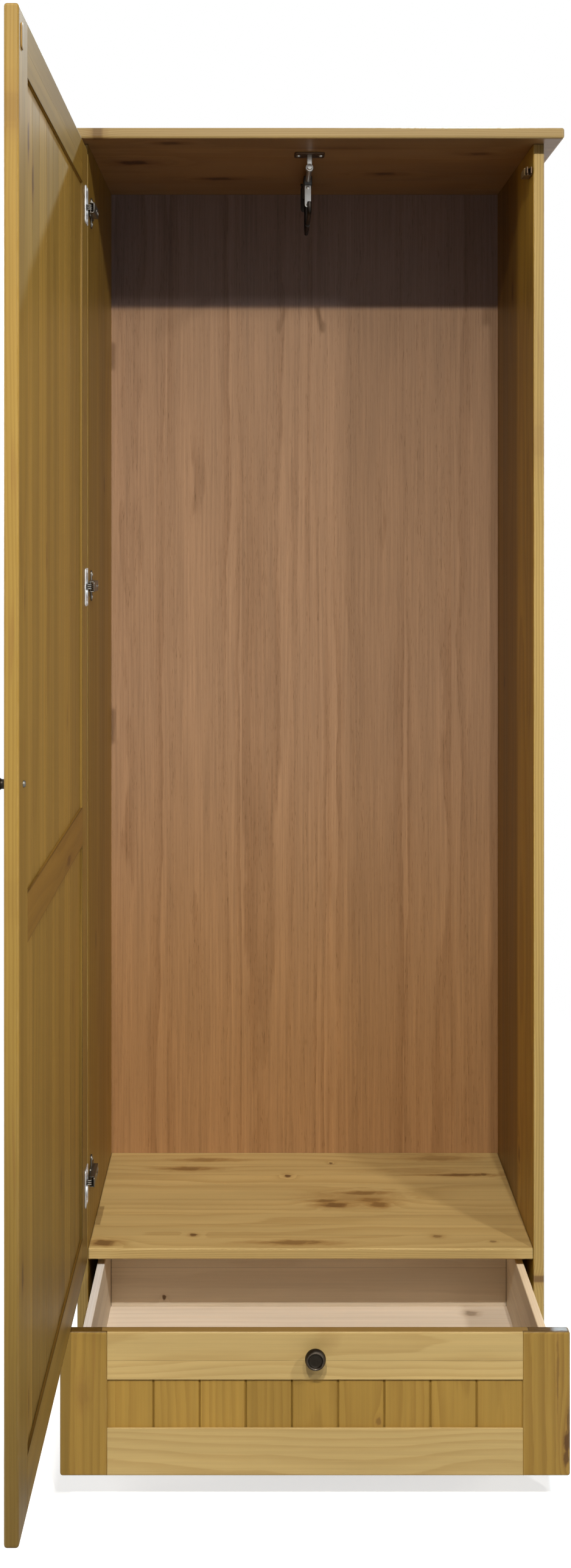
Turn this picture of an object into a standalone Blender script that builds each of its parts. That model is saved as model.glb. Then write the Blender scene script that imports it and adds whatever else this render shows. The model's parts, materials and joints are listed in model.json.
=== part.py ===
"""Single-door pine hall wardrobe with a drawer and a front-to-back hanging rail.

Metres, +Z up, the front faces -Y and +X is the viewer's right.
The origin lies on the floor, midway between the sides, under the middle of the plinth board.
The door stands open at a right angle and the drawer is pulled part of the way out.
"""

import math

import bmesh
import bpy
from mathutils import Matrix, Vector

# Fits and modelling
FIT_GAP = 0.0003
CUT_OVERRUN = 0.002
MERGE_DISTANCE = 0.00001
ROUNDING_STEPS = 3
TIGHT_ROUNDING_SHARE = 0.2
FACING_SHARE = 0.5
COARSE_STEPS = 16
FINE_STEPS = 32
ARC_STEPS = 6

# Carcass
BOARD = 0.017
CARCASS_WIDTH = 0.724
CARCASS_DEPTH = 0.400
TOTAL_HEIGHT = 2.000
TOP_SIDE_OVERHANG = 0.025
TOP_FRONT_OVERHANG = 0.036
TOP_ROUNDING = 0.004
BOARD_ROUNDING = 0.0025
FLOOR_TOP_HEIGHT = 0.271
BOTTOM_TOP_HEIGHT = 0.105
PLINTH_SETBACK = 0.002
BACK_THICKNESS = 0.005
BACK_REBATE = 0.009

# Closed fronts
FRONT_CLEARANCE = 0.003
DOOR_SIDE_INSET = 0.001
DOOR_TOP_CLEARANCE = 0.009
FLOOR_TO_DRAWER_FRONT = 0.006
DOOR_TO_DRAWER_REVEAL = 0.003

# Frame and panel joinery
PANEL_THICKNESS = 0.010
GROOVE_DEPTH = 0.009
FRAME_ROUNDING = 0.0035
PANEL_BOARDS = 9
OUTER_VEE = 0.0022
INNER_VEE = 0.0008

# Door
DOOR_STILE = 0.070
DOOR_END_RAIL = 0.066
MIDDLE_RAIL_DROP = 1.007
MIDDLE_RAIL_HEIGHT = 0.058
DOOR_KNOB_HEIGHT = 1.098

# Cup hinges
PIVOT_FROM_EDGE = 0.007
CUP_RADIUS = 0.0175
CUP_WALL = 0.0008
CUP_DEPTH = 0.0115
CUP_FROM_EDGE = 0.003
FLANGE_HEIGHT = 0.058
FLANGE_WIDTH = 0.024
FLANGE_THICKNESS = 0.0012
HINGE_PIN_RADIUS = 0.001
KNUCKLE_RADIUS = 0.0019
NECK_THICKNESS = 0.0028
NOSE_WIDTH = 0.009
ARM_WIDTH = 0.016
ARM_THICKNESS = 0.008
ARM_LENGTH = 0.062
PLATE_THICKNESS = 0.0024
PLATE_SETBACK = 0.018
PLATE_LENGTH = 0.044
PLATE_HEIGHT = 0.048
PLATE_WING = 0.012
PLATE_BAR = 0.018
TOP_HINGE_DROP = 0.0915
MIDDLE_HINGE_DROP = 0.677
BOTTOM_HINGE_RISE = 0.127

# Magnetic catch
CATCH_DROP = 0.0405
CATCH_SETBACK = 0.012
CATCH_LENGTH = 0.032
CATCH_HEIGHT = 0.0115
CATCH_THICKNESS = 0.012
POLE_THICKNESS = 0.0016
POLE_SPREAD = 0.0045
POLE_INSERT = 0.012
POLE_GAP = 0.0005
STRIKE_HEIGHT = 0.030
STRIKE_WIDTH = 0.013
STRIKE_THICKNESS = 0.001

# Drawer front
DRAWER_PULL = 0.199
DRAWER_FRONT_HEIGHT = 0.205
DRAWER_STILE = 0.067
DRAWER_RAIL = 0.068
DRAWER_KNOB_DROP = 0.031

# Drawer box
RUNNER_SPACE = 0.0125
DRAWER_LENGTH = 0.330
DRAWER_SIDE = 0.012
DRAWER_SIDE_HEIGHT = 0.128
DRAWER_SIDE_FOOT = 0.113
DRAWER_SIDE_ROUNDING = 0.0015
DRAWER_BOTTOM = 0.004
BOTTOM_GROOVE_RISE = 0.010
BOTTOM_GROOVE_DEPTH = 0.006
CLEAT_DEPTH = 0.012

# Roller runners
RUNNER_SHEET = 0.0012
RUNNER_FLANGE = 0.0085
ROLLER_RADIUS = 0.0096
ROLLER_WIDTH = 0.0063
ROLLER_SIDE_GAP = 0.0018
AXLE_RADIUS = 0.0015
CABINET_RUNNER_SETBACK = 0.002
CABINET_RUNNER_LENGTH = 0.345
FRONT_ROLLER_SETBACK = 0.014
REAR_ROLLER_FROM_END = 0.010
DRAWER_RUNNER_START = 0.004

# Knobs
KNOB_RADIUS = 0.015
KNOB_LENGTH = 0.0235
KNOB_BASE_RADIUS = 0.0095
KNOB_NECK_RADIUS = 0.006
KNOB_RIM = 0.003
KNOB_DISH = 0.0022
KNOB_BASE_HEIGHT = 0.003
KNOB_RIM_HEIGHT = 0.007
KNOB_BORE_DEPTH = 0.012
KNOB_SCREW_RADIUS = 0.002
KNOB_SCREW_HEAD_RADIUS = 0.0042
KNOB_SCREW_HEAD = 0.0024

# Hanging rail
RAIL_SHEET = 0.002
RAIL_PLATE_WIDTH = 0.048
RAIL_PLATE_DEPTH = 0.035
RAIL_FRONT_SETBACK = 0.056
RAIL_SCREW_SPACING = 0.0355
RAIL_SCREW_RADIUS = 0.0018
RAIL_SCREW_HEAD_RADIUS = 0.0036
RAIL_SCREW_HEAD = 0.0014
RAIL_SCREW_LENGTH = 0.012
RAIL_NECK_WIDTH = 0.006
RAIL_COLLAR_RADIUS = 0.0062
RAIL_COLLAR_LENGTH = 0.012
RAIL_REAR_SETBACK = 0.300
RAIL_REAR_WIDTH = 0.018
RAIL_REAR_THICKNESS = 0.012
RAIL_REAR_DROP = 0.047
GUIDE_DROP = 0.022
GUIDE_RADIUS = 0.004
GUIDE_SOCKET = 0.008
SLIDER_START = 0.165
SLIDER_LENGTH = 0.120
SLIDER_WIDTH = 0.014
SLIDER_HEIGHT = 0.016
HANGER_DROP = 0.092
HANGER_RADIUS = 0.0035
HANGER_FRONT = 0.078
HANGER_REAR = 0.278
HANGER_TIP_RISE = 0.018
HANGER_SOCKET = 0.004
HANGER_BEND = 0.010
STRAP_WIDTH = 0.012
STRAP_THICKNESS = 0.003
STRAP_START = 0.170
STRAP_EYE_WALL = 0.0025
STRAP_SOCKET = 0.003

# Places that follow from the sizes above
HALF_WIDTH = CARCASS_WIDTH / 2
INNER_HALF = HALF_WIDTH - BOARD
FRONT_Y = -(PLINTH_SETBACK + BOARD / 2)
REAR_Y = FRONT_Y + CARCASS_DEPTH
BACK_FACE_Y = REAR_Y - BACK_THICKNESS
TOP_UNDERSIDE = TOTAL_HEIGHT - BOARD
FLOOR_UNDERSIDE = FLOOR_TOP_HEIGHT - BOARD
BOTTOM_UNDERSIDE = BOTTOM_TOP_HEIGHT - BOARD
DRAWER_FRONT_TOP = FLOOR_UNDERSIDE - FLOOR_TO_DRAWER_FRONT
DRAWER_FRONT_FOOT = DRAWER_FRONT_TOP - DRAWER_FRONT_HEIGHT
DOOR_FOOT = DRAWER_FRONT_TOP + DOOR_TO_DRAWER_REVEAL
DOOR_TOP = TOP_UNDERSIDE - DOOR_TOP_CLEARANCE
DOOR_WIDTH = CARCASS_WIDTH - 2 * DOOR_SIDE_INSET
HALF_BOARD = BOARD / 2
PIVOT = Vector((
    DOOR_SIDE_INSET + PIVOT_FROM_EDGE - HALF_WIDTH,
    FRONT_Y - FRONT_CLEARANCE - HALF_BOARD,
    0,
))
HINGE_HEIGHTS = {
    "top": DOOR_TOP - TOP_HINGE_DROP,
    "middle": DOOR_TOP - MIDDLE_HINGE_DROP,
    "bottom": DOOR_FOOT + BOTTOM_HINGE_RISE,
}
GROOVE_HALF = PANEL_THICKNESS / 2 + FIT_GAP
TENON_HALF = PANEL_THICKNESS / 2
BOX_HALF = INNER_HALF - RUNNER_SPACE
SIDE_INNER = BOX_HALF - DRAWER_SIDE
DRAWER_BOTTOM_FOOT = DRAWER_SIDE_FOOT + BOTTOM_GROOVE_RISE
DRAWER_BOTTOM_TOP = DRAWER_BOTTOM_FOOT + DRAWER_BOTTOM
DRAWER_SIDE_TOP = DRAWER_SIDE_FOOT + DRAWER_SIDE_HEIGHT
CABINET_FLANGE_TOP = DRAWER_SIDE_FOOT + 2 * RUNNER_SHEET - FIT_GAP
ROLLER_HEIGHT = CABINET_FLANGE_TOP + FIT_GAP + ROLLER_RADIUS
DRAWER_FLANGE_FOOT = ROLLER_HEIGHT + ROLLER_RADIUS + FIT_GAP
DRAWER_FLANGE_TOP = DRAWER_FLANGE_FOOT + RUNNER_SHEET
ROLLER_CENTRE_X = BOX_HALF + RUNNER_SHEET + ROLLER_SIDE_GAP + ROLLER_WIDTH / 2

# Directions
LEFT = (-1, 0, 0)
RIGHT = (1, 0, 0)
FORWARDS = (0, -1, 0)
REARWARDS = (0, 1, 0)
DOWN = (0, 0, -1)
UP = (0, 0, 1)

# Orientation of a shape drawn in a local XY plane and raised along local Z
ALONG_Z = Matrix.Identity(4)
ALONG_X = Matrix(((0, 0, 1, 0), (1, 0, 0, 0), (0, 1, 0, 0), (0, 0, 0, 1)))
ALONG_Y = Matrix(((1, 0, 0, 0), (0, 0, -1, 0), (0, 1, 0, 0), (0, 0, 0, 1)))


def clear_scene():
    """Remove every object of the start-up scene."""
    for obj in list(bpy.data.objects):
        bpy.data.objects.remove(obj, do_unlink=True)


def new_collection(name):
    """Make a collection under the scene's own."""
    collection = bpy.data.collections.new(name)
    bpy.context.scene.collection.children.link(collection)
    return collection


clear_scene()
PARTS = new_collection("hall_wardrobe")
CUTTERS = new_collection("cutters")


def surface(name, colour, roughness, metallic=0.0):
    """A plain material in the colour of the piece."""
    material = bpy.data.materials.new(name)
    material.use_nodes = True
    shader = material.node_tree.nodes["Principled BSDF"]
    shader.inputs["Base Color"].default_value = (*colour, 1.0)
    shader.inputs["Roughness"].default_value = roughness
    shader.inputs["Metallic"].default_value = metallic
    return material


HONEY_PINE = surface("honey_pine", (0.52, 0.33, 0.13), 0.42)
PALE_PINE = surface("pale_pine", (0.56, 0.40, 0.22), 0.55)
BROWN_VENEER = surface("brown_veneer", (0.26, 0.15, 0.08), 0.5)
PALE_PLY = surface("pale_ply", (0.60, 0.47, 0.36), 0.6)
NICKEL = surface("nickel", (0.72, 0.72, 0.74), 0.25, 1.0)
ZINC = surface("zinc", (0.62, 0.63, 0.65), 0.35, 1.0)
BRONZE = surface("bronze", (0.09, 0.06, 0.045), 0.38, 1.0)
DARK_STEEL = surface("dark_steel", (0.07, 0.065, 0.06), 0.35, 1.0)
BLACK_PLASTIC = surface("black_plastic", (0.02, 0.02, 0.02), 0.45)
WHITE_PLASTIC = surface("white_plastic", (0.78, 0.76, 0.70), 0.45)


def pivot_empty(name, place, turn=0.0, parent=None):
    """An empty whose origin lies on a joint axis and which carries the moving pieces."""
    empty = bpy.data.objects.new(name, None)
    empty.location = place
    empty.rotation_euler = (0, 0, turn)
    empty.parent = parent
    PARTS.objects.link(empty)
    return empty


def add_part(name, mesh, material, parent=None):
    """Place a mesh in the wardrobe's collection as a piece of its own."""
    part = bpy.data.objects.new(name, mesh)
    part.data.materials.append(material)
    part.parent = parent
    PARTS.objects.link(part)
    return part


def evaluated_mesh(obj):
    """The mesh of an object with its modifiers, and the object removed."""
    depsgraph = bpy.context.evaluated_depsgraph_get()
    mesh = bpy.data.meshes.new_from_object(obj.evaluated_get(depsgraph))
    bpy.data.objects.remove(obj, do_unlink=True)
    return mesh


def box_mesh(low, high):
    """A box between two opposite corners."""
    low = Vector(low)
    high = Vector(high)
    shape = bmesh.new()
    bmesh.ops.create_cube(shape, size=1)
    bmesh.ops.scale(shape, vec=high - low, verts=shape.verts)
    bmesh.ops.translate(shape, vec=(low + high) / 2, verts=shape.verts)
    mesh = bpy.data.meshes.new("box")
    shape.to_mesh(mesh)
    shape.free()
    return mesh


def rod_mesh(start, end, radius, steps=COARSE_STEPS):
    """A round rod from one point to another."""
    start = Vector(start)
    end = Vector(end)
    along = end - start
    turn = Vector((0, 0, 1)).rotation_difference(along).to_matrix().to_4x4()
    shape = bmesh.new()
    bmesh.ops.create_cone(
        shape,
        cap_ends=True,
        segments=steps,
        radius1=radius,
        radius2=radius,
        depth=along.length,
        matrix=Matrix.Translation((start + end) / 2) @ turn,
    )
    mesh = bpy.data.meshes.new("rod")
    shape.to_mesh(mesh)
    shape.free()
    return mesh


def turned_mesh(profile, steps=COARSE_STEPS, closed=False):
    """Turn a profile of (radius, height) points, outer side from top to bottom, about local Z."""
    edges = [(i, i + 1) for i in range(len(profile) - 1)]
    if closed:
        edges.append((len(profile) - 1, 0))
    mesh = bpy.data.meshes.new("profile")
    mesh.from_pydata([(radius, 0, height) for radius, height in profile], edges, [])
    obj = bpy.data.objects.new("profile", mesh)
    CUTTERS.objects.link(obj)
    turning = obj.modifiers.new("turning", "SCREW")
    turning.steps = steps
    turning.render_steps = steps
    turning.use_merge_vertices = True
    turning.merge_threshold = MERGE_DISTANCE
    turned = evaluated_mesh(obj)
    turned.shade_smooth()
    turned.set_sharp_from_angle(angle=math.radians(35))
    return turned


def extruded_mesh(outlines, low, high, orientation=ALONG_Z):
    """Raise closed outlines, holes included, from one height to another along an axis."""
    curve = bpy.data.curves.new("outline", "CURVE")
    curve.dimensions = "2D"
    curve.fill_mode = "BOTH"
    curve.extrude = (high - low) / 2
    for outline in outlines:
        spline = curve.splines.new("POLY")
        spline.points.add(len(outline) - 1)
        for point, (x, y) in zip(spline.points, outline):
            point.co = (x, y, 0, 1)
        spline.use_cyclic_u = True
    obj = bpy.data.objects.new("outline", curve)
    CUTTERS.objects.link(obj)
    mesh = evaluated_mesh(obj)
    shape = bmesh.new()
    shape.from_mesh(mesh)
    bmesh.ops.remove_doubles(shape, verts=shape.verts, dist=MERGE_DISTANCE)
    bmesh.ops.translate(shape, vec=(0, 0, (low + high) / 2), verts=shape.verts)
    bmesh.ops.transform(shape, matrix=orientation, verts=shape.verts)
    bmesh.ops.recalc_face_normals(shape, faces=shape.faces)
    shape.to_mesh(mesh)
    shape.free()
    return mesh


def arc_points(centre, radius, start, end, steps=ARC_STEPS):
    """Points of an arc in a plane, with angles in degrees."""
    angles = [math.radians(start + (end - start) * i / steps) for i in range(steps + 1)]
    return [(centre[0] + radius * math.cos(a), centre[1] + radius * math.sin(a)) for a in angles]


def joined_mesh(meshes):
    """Several shapes that don't meet, in one mesh."""
    shape = bmesh.new()
    for mesh in meshes:
        shape.from_mesh(mesh)
    joined = bpy.data.meshes.new("joined")
    shape.to_mesh(joined)
    shape.free()
    return joined


def combine(part, label, operation, meshes):
    """Cut shapes out of a piece, or join them to it."""
    tool = bpy.data.objects.new(part.name + "_" + label, joined_mesh(meshes))
    tool.hide_render = True
    tool.display_type = "WIRE"
    tool.parent = part.parent
    CUTTERS.objects.link(tool)
    step = part.modifiers.new(label, "BOOLEAN")
    step.operation = operation
    step.object = tool


def cut(part, label, *meshes):
    """Cut shapes out of a piece."""
    combine(part, label, "DIFFERENCE", meshes)


def join(part, label, *meshes):
    """Join shapes to a piece as one body."""
    combine(part, label, "UNION", meshes)


def round_edges(part, radius):
    """Round the edges of a piece."""
    bevel = part.modifiers.new("rounding", "BEVEL")
    bevel.width = radius
    bevel.segments = ROUNDING_STEPS
    return bevel


def weigh_edges(mesh, tight_sides):
    """Give each edge its share of the rounding, which is small on the sides that meet a neighbour."""
    shape = bmesh.new()
    shape.from_mesh(mesh)
    weight = shape.edges.layers.float.new("bevel_weight_edge")
    for edge in shape.edges:
        tight = [
            side
            for side in tight_sides
            for face in edge.link_faces
            if face.normal.dot(Vector(side)) > FACING_SHARE
        ]
        edge[weight] = TIGHT_ROUNDING_SHARE if tight else 1
    shape.to_mesh(mesh)
    shape.free()


def add_board(
    name, low, high, material, parent=None, rounding=BOARD_ROUNDING, tight_sides=()
):
    """A board with rounded edges."""
    mesh = box_mesh(low, high)
    weigh_edges(mesh, tight_sides)
    board = add_part(name, mesh, material, parent)
    round_edges(board, rounding).limit_method = "WEIGHT"
    return board


def side_rebate(side):
    """The step in a side's rear inner edge that takes the back panel."""
    inner = sorted((side * (INNER_HALF - CUT_OVERRUN), side * (INNER_HALF + BACK_REBATE)))
    return box_mesh(
        (inner[0], BACK_FACE_Y - FIT_GAP, BOTTOM_UNDERSIDE - FIT_GAP),
        (inner[1], REAR_Y + CUT_OVERRUN, TOP_UNDERSIDE + CUT_OVERRUN),
    )


def build_side_panel(name, side):
    """One of the two upright sides, which stand on the floor."""
    across = sorted((side * INNER_HALF, side * HALF_WIDTH))
    panel = add_board(
        name,
        (across[0], FRONT_Y, 0),
        (across[1], REAR_Y, TOP_UNDERSIDE - FIT_GAP),
        HONEY_PINE,
        tight_sides=(UP,),
    )
    cut(panel, "back_rebate", side_rebate(side))


def build_top_board():
    """The top, which overhangs the sides and the front."""
    half = HALF_WIDTH + TOP_SIDE_OVERHANG
    top = add_board(
        "top_board",
        (-half, FRONT_Y - TOP_FRONT_OVERHANG, TOP_UNDERSIDE),
        (half, REAR_Y, TOTAL_HEIGHT),
        HONEY_PINE,
        rounding=TOP_ROUNDING,
    )
    cut(top, "rail_screw_holes", *[rail_screw_hole(side) for side in (-1, 1)])


def build_cross_board(name, top_height, material):
    """A board fixed between the two sides."""
    half = INNER_HALF - FIT_GAP
    add_board(
        name,
        (-half, FRONT_Y, top_height - BOARD),
        (half, BACK_FACE_Y - FIT_GAP, top_height),
        material,
        tight_sides=(LEFT, RIGHT, REARWARDS),
    )


def build_back_panel():
    """The veneered back, let into the sides' rebates."""
    half = INNER_HALF + BACK_REBATE - FIT_GAP
    add_part(
        "back_panel",
        box_mesh((-half, BACK_FACE_Y, BOTTOM_UNDERSIDE), (half, REAR_Y, TOP_UNDERSIDE - FIT_GAP)),
        BROWN_VENEER,
    )


def build_plinth():
    """The board that closes the gap between the bottom board and the floor."""
    half = INNER_HALF - FIT_GAP
    front = FRONT_Y + PLINTH_SETBACK
    add_board(
        "plinth_board",
        (-half, front, 0),
        (half, front + BOARD, BOTTOM_UNDERSIDE - FIT_GAP),
        HONEY_PINE,
        tight_sides=(LEFT, RIGHT, UP),
    )


def build_carcass():
    """The fixed box of the wardrobe."""
    build_side_panel("left_side_panel", -1)
    build_side_panel("right_side_panel", 1)
    build_top_board()
    build_cross_board("compartment_floor", FLOOR_TOP_HEIGHT, HONEY_PINE)
    build_cross_board("bottom_board", BOTTOM_TOP_HEIGHT, PALE_PINE)
    build_back_panel()
    build_plinth()


def build_stile(name, left, right, foot, top, mid_y, groove_side, parent):
    """An upright frame member with a groove along its inner edge."""
    stile = add_board(
        name,
        (left, mid_y - HALF_BOARD, foot),
        (right, mid_y + HALF_BOARD, top),
        HONEY_PINE,
        parent,
        FRAME_ROUNDING,
        (RIGHT if groove_side > 0 else LEFT,),
    )
    edge = right if groove_side > 0 else left
    across = sorted((edge - groove_side * GROOVE_DEPTH, edge + groove_side * CUT_OVERRUN))
    groove = box_mesh(
        (across[0], mid_y - GROOVE_HALF, foot - CUT_OVERRUN),
        (across[1], mid_y + GROOVE_HALF, top + CUT_OVERRUN),
    )
    cut(stile, "panel_groove", groove)
    return stile


def build_rail(name, left, right, foot, top, mid_y, grooves, parent):
    """A cross member with a tongue at each end that fills the stiles' grooves."""
    tongue = GROOVE_DEPTH - FIT_GAP
    rail = add_board(
        name,
        (left - tongue, mid_y - HALF_BOARD, foot),
        (right + tongue, mid_y + HALF_BOARD, top),
        HONEY_PINE,
        parent,
        FRAME_ROUNDING,
        [LEFT, RIGHT] + [UP if edge > 0 else DOWN for edge in grooves],
    )
    end = GROOVE_DEPTH + CUT_OVERRUN
    cheeks = []
    for inner, outer in ((left + FIT_GAP, left - end), (right - FIT_GAP, right + end)):
        for face in (-1, 1):
            across = sorted((inner, outer))
            deep = sorted((mid_y + face * TENON_HALF, mid_y + face * (HALF_BOARD + CUT_OVERRUN)))
            cheeks.append(
                box_mesh(
                    (across[0], deep[0], foot - CUT_OVERRUN),
                    (across[1], deep[1], top + CUT_OVERRUN),
                )
            )
    cut(rail, "tongue_cheeks", *cheeks)
    channels = []
    for edge in grooves:
        height = top if edge > 0 else foot
        span = sorted((height - edge * GROOVE_DEPTH, height + edge * CUT_OVERRUN))
        channels.append(
            box_mesh(
                (left - end, mid_y - GROOVE_HALF, span[0]),
                (right + end, mid_y + GROOVE_HALF, span[1]),
            )
        )
    cut(rail, "panel_grooves", *channels)
    return rail


def panel_outline(left, right, mid_y):
    """Plan of a boarded panel, with a vee at each joint between its boards on both faces."""
    pitch = (right - left) / PANEL_BOARDS
    half = PANEL_THICKNESS / 2
    reach = GROOVE_DEPTH - FIT_GAP
    joints = [left + pitch * i for i in range(1, PANEL_BOARDS)]
    outer = [(left - reach, mid_y - half)]
    for joint in joints:
        outer.append((joint - OUTER_VEE, mid_y - half))
        outer.append((joint, mid_y - half + OUTER_VEE))
        outer.append((joint + OUTER_VEE, mid_y - half))
    outer.append((right + reach, mid_y - half))
    inner = [(right + reach, mid_y + half)]
    for joint in reversed(joints):
        inner.append((joint + INNER_VEE, mid_y + half))
        inner.append((joint, mid_y + half - INNER_VEE))
        inner.append((joint - INNER_VEE, mid_y + half))
    inner.append((left - reach, mid_y + half))
    return outer + inner


def build_panel(name, left, right, foot, top, mid_y, parent):
    """A boarded panel whose edges sit in the frame's grooves."""
    reach = GROOVE_DEPTH - FIT_GAP
    mesh = extruded_mesh([panel_outline(left, right, mid_y)], foot - reach, top + reach)
    return add_part(name, mesh, HONEY_PINE, parent)


def knob_profile():
    """Half section of a knob with a dished face and a raised rim, standing on its base."""
    rim_foot = KNOB_LENGTH - KNOB_RIM_HEIGHT
    bore = KNOB_SCREW_RADIUS + FIT_GAP
    return [
        (0, KNOB_LENGTH - KNOB_DISH),
        (KNOB_RADIUS - 2 * KNOB_RIM, KNOB_LENGTH - KNOB_DISH),
        (KNOB_RADIUS - KNOB_RIM, KNOB_LENGTH - KNOB_DISH / 2),
        (KNOB_RADIUS - KNOB_RIM / 2, KNOB_LENGTH),
        (KNOB_RADIUS, KNOB_LENGTH - KNOB_RIM / 2),
        (KNOB_RADIUS, rim_foot + KNOB_RIM / 2),
        (KNOB_RADIUS - KNOB_RIM, rim_foot),
        (KNOB_NECK_RADIUS, (rim_foot + KNOB_BASE_HEIGHT) / 2),
        (KNOB_NECK_RADIUS, KNOB_BASE_HEIGHT + KNOB_DISH),
        (KNOB_BASE_RADIUS, KNOB_BASE_HEIGHT),
        (KNOB_BASE_RADIUS, 0),
        (bore, 0),
        (bore, KNOB_BORE_DEPTH),
        (0, KNOB_BORE_DEPTH),
    ]


def knob_screw_profile():
    """Half section of the screw that holds a knob, head at the top."""
    seat = 0
    tip = -(BOARD + FIT_GAP + KNOB_BORE_DEPTH - KNOB_SCREW_RADIUS)
    return [
        (0, KNOB_SCREW_HEAD),
        (KNOB_SCREW_HEAD_RADIUS / 2, KNOB_SCREW_HEAD),
        (KNOB_SCREW_HEAD_RADIUS, KNOB_SCREW_HEAD / 2),
        (KNOB_SCREW_HEAD_RADIUS, seat),
        (KNOB_SCREW_RADIUS, seat),
        (KNOB_SCREW_RADIUS, tip),
        (0, tip),
    ]


def build_knob(name, front_member, x, outer_y, z, parent):
    """A knob on a front's outer face and the screw that comes through from behind."""
    facing_out = Matrix.Rotation(math.radians(90), 4, "X")
    knob = add_part(name, turned_mesh(knob_profile(), FINE_STEPS), BRONZE, parent)
    knob.data.transform(facing_out)
    knob.location = (x, outer_y - FIT_GAP, z)
    screw = add_part(name + "_screw", turned_mesh(knob_screw_profile()), ZINC, parent)
    facing_in = Matrix.Rotation(math.radians(-90), 4, "X")
    screw.data.transform(facing_in)
    screw.location = (x, outer_y + BOARD + FIT_GAP, z)
    hole = rod_mesh(
        (x, outer_y - CUT_OVERRUN, z),
        (x, outer_y + BOARD + CUT_OVERRUN, z),
        KNOB_SCREW_RADIUS + FIT_GAP,
    )
    cut(front_member, "knob_hole", hole)


def cup_centre(height):
    """Middle of a hinge cup's mouth in the door's own frame."""
    return Vector((CUP_FROM_EDGE + CUP_RADIUS - PIVOT_FROM_EDGE, HALF_BOARD, height))


def cup_hole(height):
    """The recess in the stile that takes a hinge cup."""
    centre = cup_centre(height)
    depth = Vector((0, CUP_DEPTH + FIT_GAP, 0))
    overrun = Vector((0, CUT_OVERRUN, 0))
    return rod_mesh(centre - depth, centre + overrun, CUP_RADIUS + FIT_GAP, FINE_STEPS)


def build_door(axis):
    """The frame-and-panel door, drawn closed about its hinge axis."""
    left = -PIVOT_FROM_EDGE
    right = left + DOOR_WIDTH
    inner_left = left + DOOR_STILE
    inner_right = right - DOOR_STILE
    hinge_stile = build_stile(
        "door_hinge_stile", left, inner_left, DOOR_FOOT, DOOR_TOP, 0, 1, axis
    )
    cut(hinge_stile, "cup_holes", *[cup_hole(height) for height in HINGE_HEIGHTS.values()])
    free_stile = build_stile(
        "door_free_stile", inner_right, right, DOOR_FOOT, DOOR_TOP, 0, -1, axis
    )
    middle_top = DOOR_TOP - MIDDLE_RAIL_DROP
    middle_foot = middle_top - MIDDLE_RAIL_HEIGHT
    top_foot = DOOR_TOP - DOOR_END_RAIL
    bottom_top = DOOR_FOOT + DOOR_END_RAIL
    build_rail("door_top_rail", inner_left, inner_right, top_foot, DOOR_TOP, 0, (-1,), axis)
    build_rail(
        "door_middle_rail", inner_left, inner_right, middle_foot, middle_top, 0, (-1, 1), axis
    )
    build_rail("door_bottom_rail", inner_left, inner_right, DOOR_FOOT, bottom_top, 0, (1,), axis)
    build_panel("door_upper_panel", inner_left, inner_right, middle_top, top_foot, 0, axis)
    build_panel("door_lower_panel", inner_left, inner_right, bottom_top, middle_foot, 0, axis)
    build_knob(
        "door_knob", free_stile, right - DOOR_STILE / 2, -HALF_BOARD, DOOR_KNOB_HEIGHT, axis
    )


def build_hinge_cup(label, height, axis):
    """The cup let into the door, with the flange that is screwed to it."""
    centre = cup_centre(height)
    half_width = Vector((FLANGE_WIDTH / 2, 0, FLANGE_HEIGHT / 2))
    seat = Vector((0, FIT_GAP, 0))
    thick = Vector((0, FIT_GAP + FLANGE_THICKNESS, 0))
    flange = box_mesh(centre - half_width + seat, centre + half_width + thick)
    cup = add_part(label + "_hinge_cup", flange, NICKEL, axis)
    deep = Vector((0, CUP_DEPTH, 0))
    shell = rod_mesh(centre - deep, centre + thick / 2 + seat / 2, CUP_RADIUS, FINE_STEPS)
    join(cup, "shell", shell)
    floor = Vector((0, CUP_DEPTH - CUP_WALL, 0))
    overrun = Vector((0, CUT_OVERRUN, 0))
    hollow = rod_mesh(centre - floor, centre + thick + overrun, CUP_RADIUS - CUP_WALL, FINE_STEPS)
    cut(cup, "hollow", hollow)


def build_hinge_pin(label, height, axis):
    """The pin across the cup that the arm's knuckle turns on."""
    offset = CUP_FROM_EDGE + CUP_RADIUS - PIVOT_FROM_EDGE
    reach = math.sqrt((CUP_RADIUS - CUP_WALL) ** 2 - (offset + HINGE_PIN_RADIUS) ** 2)
    half = Vector((0, 0, reach - FIT_GAP))
    middle = Vector((0, 0, height))
    mesh = rod_mesh(middle - half, middle + half, HINGE_PIN_RADIUS)
    add_part(label + "_hinge_pin", mesh, ZINC, axis)


def nose_outlines(leg_left):
    """Plan of an arm's front end: a knuckle with its bore, and the neck that meets the leg."""
    half = NECK_THICKNESS / 2
    meet = math.degrees(math.asin(half / KNUCKLE_RADIUS))
    knuckle = arc_points((PIVOT.x, PIVOT.y), KNUCKLE_RADIUS, meet, 360 - meet, 2 * ARC_STEPS)
    overlap = leg_left + ARM_THICKNESS / 2
    outer = knuckle + [(overlap, PIVOT.y - half), (overlap, PIVOT.y + half)]
    bore = arc_points((PIVOT.x, PIVOT.y), HINGE_PIN_RADIUS + FIT_GAP, 0, 330, COARSE_STEPS - 1)
    return [outer, bore]


def leg_outline(leg_left):
    """Plan of an arm's leg, which runs back along the side panel."""
    half = NECK_THICKNESS / 2
    front = PIVOT.y - half
    rear = front + ARM_LENGTH
    right = leg_left + ARM_THICKNESS
    return [
        (leg_left, front),
        (leg_left + ARM_THICKNESS / 2, front),
        (right, front + ARM_THICKNESS),
        (right, rear - ARM_THICKNESS),
        (right - ARM_THICKNESS / 2, rear),
        (leg_left, rear),
    ]


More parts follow.
